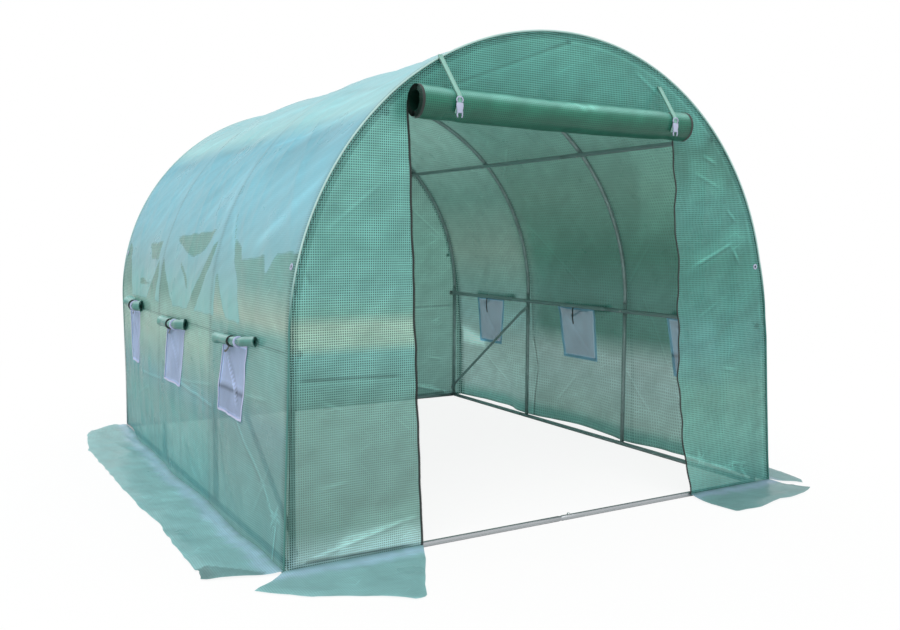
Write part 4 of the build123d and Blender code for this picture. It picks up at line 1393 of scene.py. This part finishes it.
class TUNNEL_OT_seams(bpy.types.Operator):
    """Welted seams round both gables, with their stitches and the eyelets beside them"""

    bl_idname = "tunnel.seams"
    bl_label = "Seams"

    def execute(self, context):
        film = context.scene.tunnel_film
        # Pale painted sky reflection over the arch, the binding's own colour below it
        piping = woven_tape("seam_piping", film.piping_sky_reflection, 3.0, film.binding_colour)
        thread = moulded_plastic("polyester_thread", film.thread_colour, 0.6, 0.4)
        s = stations([0.01, COVER_LENGTH - 0.01], 0.012)
        marks = np.arange(0.02, COVER_LENGTH - 0.02, film.stitch_pitch)
        _, _, nx, nz = around(s)
        _, _, mx, mz = around(marks)
        stitch = swept([(0, 0, -0.0026), (0, 0, 0.0026)], circle(0.0009, 6), ACROSS)
        bars, stitches = [], []
        for end in (-1, 1):
            path = seam_point(s, end) + together(nx, end, nz) / 2**0.5 * film.piping_radius * 0.9
            bars.append(swept(path, circle(film.piping_radius, 8), ALONG))
            # The stitches run on the gable, 8.5 mm in from the seam
            places = seam_point(marks, end) + together(-mx, 0.0, -mz) * 0.0085
            places[:, 1] = END_Y[end] + end * (FILM_LIFT + 0.0006)
            stitches.append(placed(stitch, places, np.gradient(places, axis=0)))
        make_piece("seam_piping_run", joined(bars), piping)
        make_piece("seam_stitches", joined(stitches), thread)
        ring = turned([(0.0055, 0.0), (0.0105, 0.0), (0.0115, 0.0012), (0.0105, 0.0026), (0.006, 0.0028),
                       (0.0055, 0.0012)], 16)
        # A dark disc fills each eyelet's hole with painted shade
        hole_shade = turned([(0.0058, 0.0), (0.0058, 0.0014), (0.0005, 0.0015)], 16)
        rings = moulded_plastic("white_eyelet", context.scene.tunnel_door.buckle_colour, 0.35, 0.5)
        height = 0.945
        x = (COVER_MIDDLE**2 - (height - SPRING) ** 2) ** 0.5
        # On the cover beside the left seams, and on the gable beside the right ones
        origins = [(-x, y - end * 0.026, height) for end, y in END_Y.items()]
        origins += [(x - 0.03, y + end * (FILM_LIFT + 0.0004), height - 0.02) for end, y in END_Y.items()]
        axes = [(-x, 0, height - SPRING)] * 2 + [(0, end, 0) for end in END_Y]
        make_piece("cover_eyelets", placed(ring, origins, axes), rings)
        make_piece("eyelet_hole_shades", placed(hole_shade, origins, axes), thread)
        return {"FINISHED"}


# ---- windows


def net_points(side, start, end):
    """Grid over one net, leaned with the film round its window and set just inside the film."""
    sign = SIDES[side]
    bottom, top = NET_HEIGHTS
    yy, zz = np.meshgrid(stations([start, end], 0.0125), stations([bottom, top], 0.0125))
    hollow = 0.004 * np.sin(pi * (yy - start) / (end - start)) * np.sin(pi * (zz - bottom) / (top - bottom))
    lift = cover_offset(yy, zz if sign < 0 else COVER_LENGTH - zz) - 0.0016 - hollow
    shifted = yy + window_shift(side, yy, zz)
    lift = lift + flare(sign, shifted, zz)
    slack = crease(yy, zz, (start + 0.24, top - 0.06, start + 0.07, bottom + 0.04), 0.012, 0.007)
    return together(sign * (HOOP_RADIUS + lift + slack), shifted, zz), together(yy, zz)


def net_shade(uv, start, number):
    """Light and dark on a net: a pale diagonal fold, and on the first a dark pocket under a level fold."""
    y, z = uv[..., 0] - start, uv[..., 1]
    bottom, top = NET_HEIGHTS
    fold, shown = fold_lines(y, z, [(0.25, top - 0.05, 0.06, bottom + 0.04, 1.0)])
    strength = 0.45 if number == 1 else 0.15
    light = 1 + strength * shown * (bell(fold / 0.007) - 0.8 * bell((fold + 0.014) / 0.006))
    if number == 1:
        above = z - bottom - 0.118  # height over the level fold
        light += 0.45 * bell(above / 0.005) - 0.45 * bell((above + 0.016) / 0.009) - 0.18 * ease(-above / 0.02)
    # Painted light lifts the rim, which lies on the film's hem that keeps the light off it on the inside
    rim = np.minimum(np.minimum(y, uv[0, -1, 0] - start - y), np.minimum(z - bottom, top - z))
    cloud = 0.92 + 0.12 * noise(60 + number, y, z, 0.05, 0.09)
    return light * cloud * (1.9 - 0.9 * ease((rim - 0.012) / 0.006))


class TUNNEL_OT_nets(bpy.types.Operator):
    """Insect nets sewn inside the windows, with tape round each"""

    bl_idname = "tunnel.nets"
    bl_label = "Window nets"

    def execute(self, context):
        windows = context.scene.tunnel_windows
        net = insect_net()
        tape = woven_tape("net_hem_tape", windows.hem_colour, 2.5)
        ties = woven_tape("elastic_tie", windows.tie_colour, 1.5)
        for side, sign in SIDES.items():
            hems, cords = [], []
            for number, (start, end) in enumerate(NET_STRETCHES[side], 1):
                points, uv = net_points(side, start, end)
                piece = make_piece(f"{side}_net_{number}", sheet_surface(points, uv, flip=sign < 0), net,
                                   [f"{side}_window_nets"],
                                   values={"Shown": net_shade(uv, start, number)})
                rim = points[1:-1, 1:-1]
                line = np.concatenate([rim[0], rim[1:, -1], rim[-1, -2::-1], rim[-2:0:-1, 0], rim[:2, 0][:1]])
                line = line + np.array([sign * 0.0034, 0, 0])
                hems.append(swept(line, rounded_bar(windows.hem_width, 0.0012), ACROSS, caps=False))
                # A short dark tie hangs inside from the window's head
                middle_y = points[-1, points.shape[1] // 2, 1]
                t = np.linspace(0, 1, 12)
                line = together(sign * (HOOP_RADIUS - 0.004), middle_y - 0.03 + 0.01 * np.sin(3.0 * t),
                                NET_HEIGHTS[1] + 0.018 - 0.11 * t)
                cords.append(swept(line, rounded_bar(0.01, 0.002), ACROSS))
            make_piece(f"{side}_net_tapes", joined(hems), tape)
            make_piece(f"{side}_inner_ties", joined(cords), ties)
        return {"FINISHED"}


TURN_STEPS = 16  # steps of each turn in which a roll's length is counted
ROLL_PITCH = 0.0042  # radius lost with each turn of a loose roll


def spiral_roll(path, outer, sheet_length, seed, crumple, squeeze, start_angle=0.0):
    """A sheet rolled up along a path: in each cross-section the radius falls by the pitch every turn.

    The radius is also changed by slow noise along and round the roll, and squeezed where a tie holds it.
    Returns grid points (places along the path, places round the spiral) and flat coordinates.
    """
    side, up = path_axes(path, UP)
    turns = covered = 0.0
    while covered < sheet_length and outer - ROLL_PITCH * turns > 2 * ROLL_PITCH:
        covered += tau * (outer - ROLL_PITCH * (turns + 0.5 / TURN_STEPS)) / TURN_STEPS
        turns += 1 / TURN_STEPS
    angle = np.linspace(0, turns * tau, int(turns * 40) + 2)
    radius = outer - ROLL_PITCH * angle / tau
    s = travelled(path)
    along, about = np.meshgrid(s, (angle % tau) * 0.05, indexing="ij")
    lumps = noise(seed, along, about, 0.09, 0.045) + 0.5 * noise(seed + 1, along, about, 0.03, 0.02)
    r = (radius[None] * np.reshape(squeeze, (-1, 1)) * (1 + crumple * lumps))[..., None]
    turn = (start_angle + angle)[None, :, None]
    points = path[:, None] + r * (side[:, None] * np.cos(turn) + up[:, None] * np.sin(turn))
    around_flat = np.concatenate([[0], np.cumsum((radius[1:] + radius[:-1]) / 2 * np.diff(angle))])
    return points, together(s[:, None], around_flat[None])


def roll_paint(points, centre_z, radius, outer, hollow_shade, sheen):
    """Attributes of a rolled sheet: painted shade darkens its tone from top to underside, with a painted
    highlight near the top; its inner faces are painted in shade, the outer colour times hollow_shade.
    """
    height = np.clip((points[..., 2] - centre_z) / radius, -1, 1)
    body = np.array(outer[:3]) * (0.62 + 0.38 * ease((height + 0.9) / 1.5))[..., None]
    tone = body + (np.array(sheen[:3]) - body) * (0.9 * bell((height - 0.68) / 0.26))[..., None]
    return plain_paint(tone, np.broadcast_to(shade(outer, hollow_shade)[:3], tone.shape))


# Each flap roll, front to back: how far its two ends lie from the plain roll's, how much lower it hangs at
# its front and far end, and its size
ROLL_SHAPES = {
    "left": ((-0.009, -0.085, 0.0, 0.022, 1.0), (0.032, -0.075, 0.018, 0.03, 1.22),
             (0.058, -0.19, 0.0, -0.01, 1.45)),
    "right": ((0.0, -0.06, 0.004, 0.012, 1.0), (0.015, -0.08, 0.014, 0.022, 1.15),
              (-0.01, -0.07, 0.0, 0.01, 1.1)),
}
TIED_AT = {"dark": 0.56, "pale": 0.36}  # share of the way along a roll of its dark tie and its pale loop


class TUNNEL_OT_flap_rolls(bpy.types.Operator):
    """Window flaps rolled up and tied above their windows"""

    bl_idname = "tunnel.flap_rolls"
    bl_label = "Flap rolls"

    def execute(self, context):
        windows = context.scene.tunnel_windows
        film = reinforced_film("reinforced_film_flap", weave=0.1, haze=0.95, haze_inside=0.95, mottle=0.4)
        ties = bpy.data.materials["elastic_tie"]
        loops = woven_tape("tie_loop", windows.hem_colour, 1.5)
        for side, sign in SIDES.items():
            bands = {"dark": [], "pale": []}
            for number, ((start, end), shape) in enumerate(zip(ROLL_STRETCHES[side], ROLL_SHAPES[side]), 1):
                front, far, drop, far_drop, size = shape
                start, end = start + front, end + far
                t = stations([0, 1], 0.02)
                y = start + (end - start) * t
                z = FLAP_ROLL_Z + 0.012 - drop - (far_drop - drop) * t - 0.006 * np.sin(pi * t)
                lean = flare(sign, y, z)
                path = together(sign * (COVER_OUT + FLAP_ROLL_RADIUS * 0.93 + lean), y, z)
                squeeze = size * (0.94 - 0.3 * bell((t - TIED_AT["pale"]) / 0.05)
                                  - 0.22 * bell((t - TIED_AT["dark"]) / 0.05)
                                  + 0.2 * ease((t - 0.86) / 0.14) + 0.1 * ease((0.16 - t) / 0.16))
                points, uv = spiral_roll(path, FLAP_ROLL_RADIUS * 0.9, 0.42, 200 + 7 * number, 0.16, squeeze)
                # The front end is pressed flat against the wall
                wall = sign * (COVER_OUT + lean[:, None])
                points[..., 0] = wall + (points[..., 0] - wall) * (1 - 0.55 * ease((0.22 - t) / 0.22)[:, None])
                paint = roll_paint(points, z[:, None], FLAP_ROLL_RADIUS * size, windows.roll_colour, 0.55,
                                   windows.sheen_colour)
                piece = make_piece(f"{side}_flap_roll_{number}", sheet_surface(points, uv, flip=True), film,
                                   [f"{side}_flap_rolls"], values=paint)
                ring = FLAP_ROLL_RADIUS * 0.74 * size * circle(1, 24)[[*range(24), 0]]
                tied = {kind: path[int(share * (len(path) - 1))] for kind, share in TIED_AT.items()}
                for kind, centre in tied.items():
                    loop = centre + together(ring[:, 0], 0.0, ring[:, 1])
                    bands[kind].append(swept(loop, rounded_bar(0.008, 0.0016), ALONG, caps=False))
                # The tie's loose end lies along the film below the roll
                t = np.linspace(0, 1, 14)
                _, tie_y, tie_z = tied["dark"]
                reach = 0.1 if number != 1 else 0.13
                line = together(sign * (COVER_OUT + 0.004 + 0.01 * (1 - t) + float(lean.mean())),
                                tie_y + 0.01 + reach * t, tie_z - 0.018 - 0.03 * t + 0.006 * np.sin(6 * t))
                bands["dark"].append(swept(line, rounded_bar(0.008, 0.0014), ACROSS))
            make_piece(f"{side}_dark_ties", joined(bands["dark"]), ties)
            make_piece(f"{side}_pale_loops", joined(bands["pale"]), loops)
        return {"FINISHED"}


# ---- door


class TUNNEL_OT_door_roll(bpy.types.Operator):
    """Door rolled up over the doorway, with the dark zip tape rolled into both ends"""

    bl_idname = "tunnel.door_roll"
    bl_label = "Rolled door"

    def execute(self, context):
        door = context.scene.tunnel_door
        film = reinforced_film("reinforced_film_door", weave=0.3, haze=0.97, haze_inside=0.97, mottle=0.2)
        zip_cloth = woven_tape("zip_tape_cloth", door.zip_colour, 1.5)
        start, end = low("door_roll", 0) + 0.014, high("door_roll", 0)
        t = stations([0, 1], 0.0085)
        path = together(start + (end - start) * t, DOOR_ROLL_Y,
                        DOOR_ROLL_Z - 0.006 * np.sin(pi * t) + 0.004 - 0.004 * t)
        held = [(strap - start) / (end - start) for strap in STRAP_X]
        squeeze = 0.97 - sum(0.05 * bell((t - place) / 0.025) for place in held)
        points, uv = spiral_roll(path, DOOR_ROLL_RADIUS, 1.47, 300, 0.018, squeeze, radians(250))
        paint = roll_paint(points, path[:, None, 2], DOOR_ROLL_RADIUS, door.roll_colour, 0.12,
                           door.sheen_colour)
        # Lighter to the left, and a painted highlight on a crumple near the middle of the roll's top
        share, rise = (points[..., 0] - start) / (end - start), points[..., 2] - DOOR_ROLL_Z
        bright = bell((share - 0.56) / 0.05) * ease(rise / 0.03)
        bright *= 0.5 + 0.5 * noise(301, share, rise, 0.02, 0.012)
        paint["Outer"] = paint["Outer"] * (1 + 0.12 * (0.5 - share) + 0.9 * bright)[..., None]
        piece = make_piece("rolled_door", sheet_surface(points, uv, flip=True), film,
                           ["door_roll"], values=paint)
        tapes = []
        for part in (slice(0, 2), slice(-2, None)):
            lifted = points[part] + unit(points[part] - path[part][:, None]) * 0.0012
            tapes.append(sheet_surface(lifted, uv[part], flip=True))
        make_piece("rolled_zip_tapes", joined(tapes), zip_cloth)
        return {"FINISHED"}


# How far the top of each strap lies to the side of its buckle and above the modelled strap's
STRAP_TOPS = ((-0.008, 0.022), (0.022, 0.004))


class TUNNEL_OT_straps(bpy.types.Operator):
    """Straps that hold the rolled door, with their moulded buckles"""

    bl_idname = "tunnel.straps"
    bl_label = "Straps and buckles"

    def execute(self, context):
        door = context.scene.tunnel_door
        webbing = woven_tape("polypropylene_webbing", door.strap_colour, 2.0)
        plastic = moulded_plastic("white_acetal", door.buckle_colour, 0.35, 0.6)
        surfaces, buckles = [], []
        reach = DOOR_ROLL_RADIUS * 0.97 + 0.002
        centre = np.array([DOOR_ROLL_Y, DOOR_ROLL_Z])
        for strap_x, (top_shift, top_rise) in zip(STRAP_X, STRAP_TOPS):
            top = np.array([GABLE_OUT - 0.001, STRAP_TOP + top_rise])
            away = top - centre
            touch = atan2(away[1], away[0]) + np.arccos(reach / hypot(*away))
            angle = np.linspace(touch, radians(214), 30)
            arc = centre + reach * together(np.cos(angle), np.sin(angle))
            y, z = np.concatenate([top + (arc[0] - top) * np.linspace(0, 1, 8)[:-1, None], arc]).T
            x = strap_x + top_shift * np.clip((z - arc[0, 1]) / (top[1] - arc[0, 1]), 0, 1)
            x += 0.003 * np.sin(np.linspace(0, 5, len(x)))
            surfaces.append(swept(together(x, y, z), rounded_bar(0.0014, 0.013), ACROSS))
            buckles.append(buckle((strap_x, DOOR_ROLL_Y - reach - 0.004, DOOR_ROLL_Z - 0.012)))
        make_piece("door_straps", joined(surfaces), webbing, ["door_roll_straps"])
        make_piece("side_release_buckles", joined(buckles), plastic, ["strap_buckles"])
        return {"FINISHED"}


def buckle(centre):
    """Side-release buckle: a loop bar on top, a waisted body and two prongs below, swept bars round it."""
    x, y, z = centre
    outline = np.array([(-0.011, 0.012), (0.011, 0.012), (0.0125, 0.002), (0.0095, -0.012), (0.0115, -0.02),
                        (-0.0115, -0.02), (-0.0095, -0.012), (-0.0125, 0.002)])
    layers = np.array([(-0.0035, 0.86), (-0.0025, 1.0), (0.0025, 1.0), (0.0035, 0.86)])
    points = together(x + outline[None, :, 0] * layers[:, 1:], y + layers[:, :1],
                      z + outline[None, :, 1] * layers[:, 1:]).reshape(-1, 3)
    angle = np.linspace(-0.25 * pi, 1.25 * pi, 22)
    loop = together(x + 0.0115 * np.cos(angle), y, z + 0.021 + 0.01 * np.sin(angle))
    body = (points, ring_faces(points, len(outline)), points[:, [0, 2]])
    parts = [body, swept(loop, circle(0.0021, 8), ALONG)]
    for sign in (-1, 1):
        prong = [(x + sign * 0.008, y, z - 0.018), (x + sign * 0.0095, y, z - 0.026),
                 (x + sign * 0.0075, y, z - 0.034)]
        parts.append(swept(prong, circle(0.0024, 8), ALONG))
    return joined(parts)


class TUNNEL_OT_zips(bpy.types.Operator):
    """Zip tapes and teeth down both edges of the doorway"""

    bl_idname = "tunnel.zips"
    bl_label = "Zips"

    def execute(self, context):
        door = context.scene.tunnel_door
        cloth = bpy.data.materials["zip_tape_cloth"]
        teeth = moulded_plastic("nylon_zip_teeth", door.zip_colour, 0.4, 0.4)
        tooth = swept([(-0.0025, 0, 0), (0.0025, 0, 0)], circle(0.0011, 6), UP)
        for side, sign in SIDES.items():
            z = stations([0.012, DOOR_TOP], 0.012)
            x = door_edge(side, z)
            path = together(x - sign * 0.001, GABLE_FRONT - gable_offset(x, z, -1) - 0.0008, z)
            tape = swept(path, rounded_bar(door.zip_width, 0.0012), ALONG)
            make_piece(f"{side}_zip_tape", tape, cloth, [f"{side}_door_zip"])
            z = np.arange(0.016, DOOR_TOP - 0.004, door.tooth_pitch)
            x = door_edge(side, z) - sign * door.zip_width / 2
            places = together(x, GABLE_FRONT - gable_offset(x, z, -1) - 0.001, z)
            make_piece(f"{side}_zip_teeth", placed(tooth, places, UP, twist=ALONG), teeth)
        return {"FINISHED"}


# ---- stage


class TUNNEL_OT_stage(bpy.types.Operator):
    """Plain pale floor, even light, a large soft key and the camera"""

    bl_idname = "tunnel.stage"
    bl_label = "Stage"

    def execute(self, context):
        settings = context.scene.tunnel_stage
        half = 30.0
        mesh = bpy.data.meshes.new("floor")
        mesh.from_pydata([(-half, -half, 0), (half, -half, 0), (half, half, 0), (-half, half, 0)], [],
                         [(0, 1, 2, 3)])
        floor = new_object("floor", mesh)
        material, add = new_material("plain_floor")
        place = add("TexCoord", out="Object")
        speck = add("TexNoise", {"Vector": place, "Scale": 3.0})
        base = settings.floor_colour
        matt = add("BsdfDiffuse", add("Mix", {0: speck, 6: shade(base, 0.995), 7: shade(base, 1.0)}, **RGBA))
        # To the camera the floor goes over to plain white away from the object, and keeps its shadow near it.
        away = add("VectorMath", place, operation="LENGTH", out="Value")
        lifted = add("MapRange", away, 1.5, 4.5, settings.floor_lift, 1.0)
        fade = add("Math", lifted, add("LightPath", out="Is Camera Ray"), operation="MULTIPLY")
        white = add("Emission", {"Color": (1, 1, 1, 1), "Strength": 1.0})
        add("OutputMaterial", add("MixShader", fade, matt, white))
        mesh.materials.append(material)

        world = bpy.data.worlds.new("studio")
        add = emptied(world)
        seen = add("LightPath", out="Is Camera Ray")
        for ray in ("Is Glossy Ray", "Is Transmission Ray"):
            seen = add("Math", seen, add("LightPath", out=ray), operation="MAXIMUM")
        strength = add("MapRange", seen, 0.0, 1.0, settings.sky_strength, 1.0)
        add("OutputWorld", add("Background", {"Color": (1, 1, 1, 1), "Strength": strength}))
        context.scene.world = world

        sun = bpy.data.lights.new("key", "SUN")
        sun.energy, sun.angle = settings.sun_strength, settings.sun_spread
        new_object("key", sun).rotation_euler = Vector((0.35, 0.5, -1.0)).to_track_quat("-Z", "Y").to_euler()

        lens = bpy.data.cameras.new("camera")
        lens.lens, lens.sensor_width, lens.clip_end = settings.focal_length, 36.0, 200.0
        camera = new_object("camera", lens)
        camera.location = (-2.009, -3.8318, 1.0356)
        yaw, pitch, roll = 0.5353, 0.0848, -0.0063
        forward = Vector((sin(yaw) * cos(pitch), cos(yaw) * cos(pitch), -sin(pitch)))
        camera.rotation_mode = "QUATERNION"
        camera.rotation_quaternion = Quaternion(forward, roll) @ forward.to_track_quat("-Z", "Y")
        context.scene.camera = camera
        context.scene.view_settings.view_transform = "Standard"
        return {"FINISHED"}


class TUNNEL_PT_panel(bpy.types.Panel):
    """Steps of the polytunnel's looks"""

    bl_label = "Polytunnel"
    bl_idname = "TUNNEL_PT_panel"
    bl_space_type = "VIEW_3D"
    bl_region_type = "UI"
    bl_category = "Polytunnel"

    def draw(self, context):
        for operator in OPERATORS:
            self.layout.operator(operator.bl_idname)
        for group_name, group in GROUPS.items():
            box = self.layout.box()
            for setting in group.__annotations__:
                box.prop(getattr(context.scene, group_name), setting)


OPERATORS = (
    TUNNEL_OT_hoops, TUNNEL_OT_rails, TUNNEL_OT_bolts, TUNNEL_OT_main_cover, TUNNEL_OT_gables,
    TUNNEL_OT_skirts, TUNNEL_OT_seams, TUNNEL_OT_nets, TUNNEL_OT_flap_rolls, TUNNEL_OT_door_roll,
    TUNNEL_OT_straps, TUNNEL_OT_zips, TUNNEL_OT_stage,
)


def register():
    for name, group in GROUPS.items():
        bpy.utils.register_class(group)
        setattr(bpy.types.Scene, name, PointerProperty(type=group))
    for operator in OPERATORS:
        bpy.utils.register_class(operator)
    bpy.utils.register_class(TUNNEL_PT_panel)


def unregister():
    bpy.utils.unregister_class(TUNNEL_PT_panel)
    for operator in reversed(OPERATORS):
        bpy.utils.unregister_class(operator)
    for name, group in reversed(GROUPS.items()):
        delattr(bpy.types.Scene, name)
        bpy.utils.unregister_class(group)


def main():
    register()
    for operator in OPERATORS:
        space, name = operator.bl_idname.split(".")
        getattr(getattr(bpy.ops, space), name)()


if __name__ == "__main__":
    main()
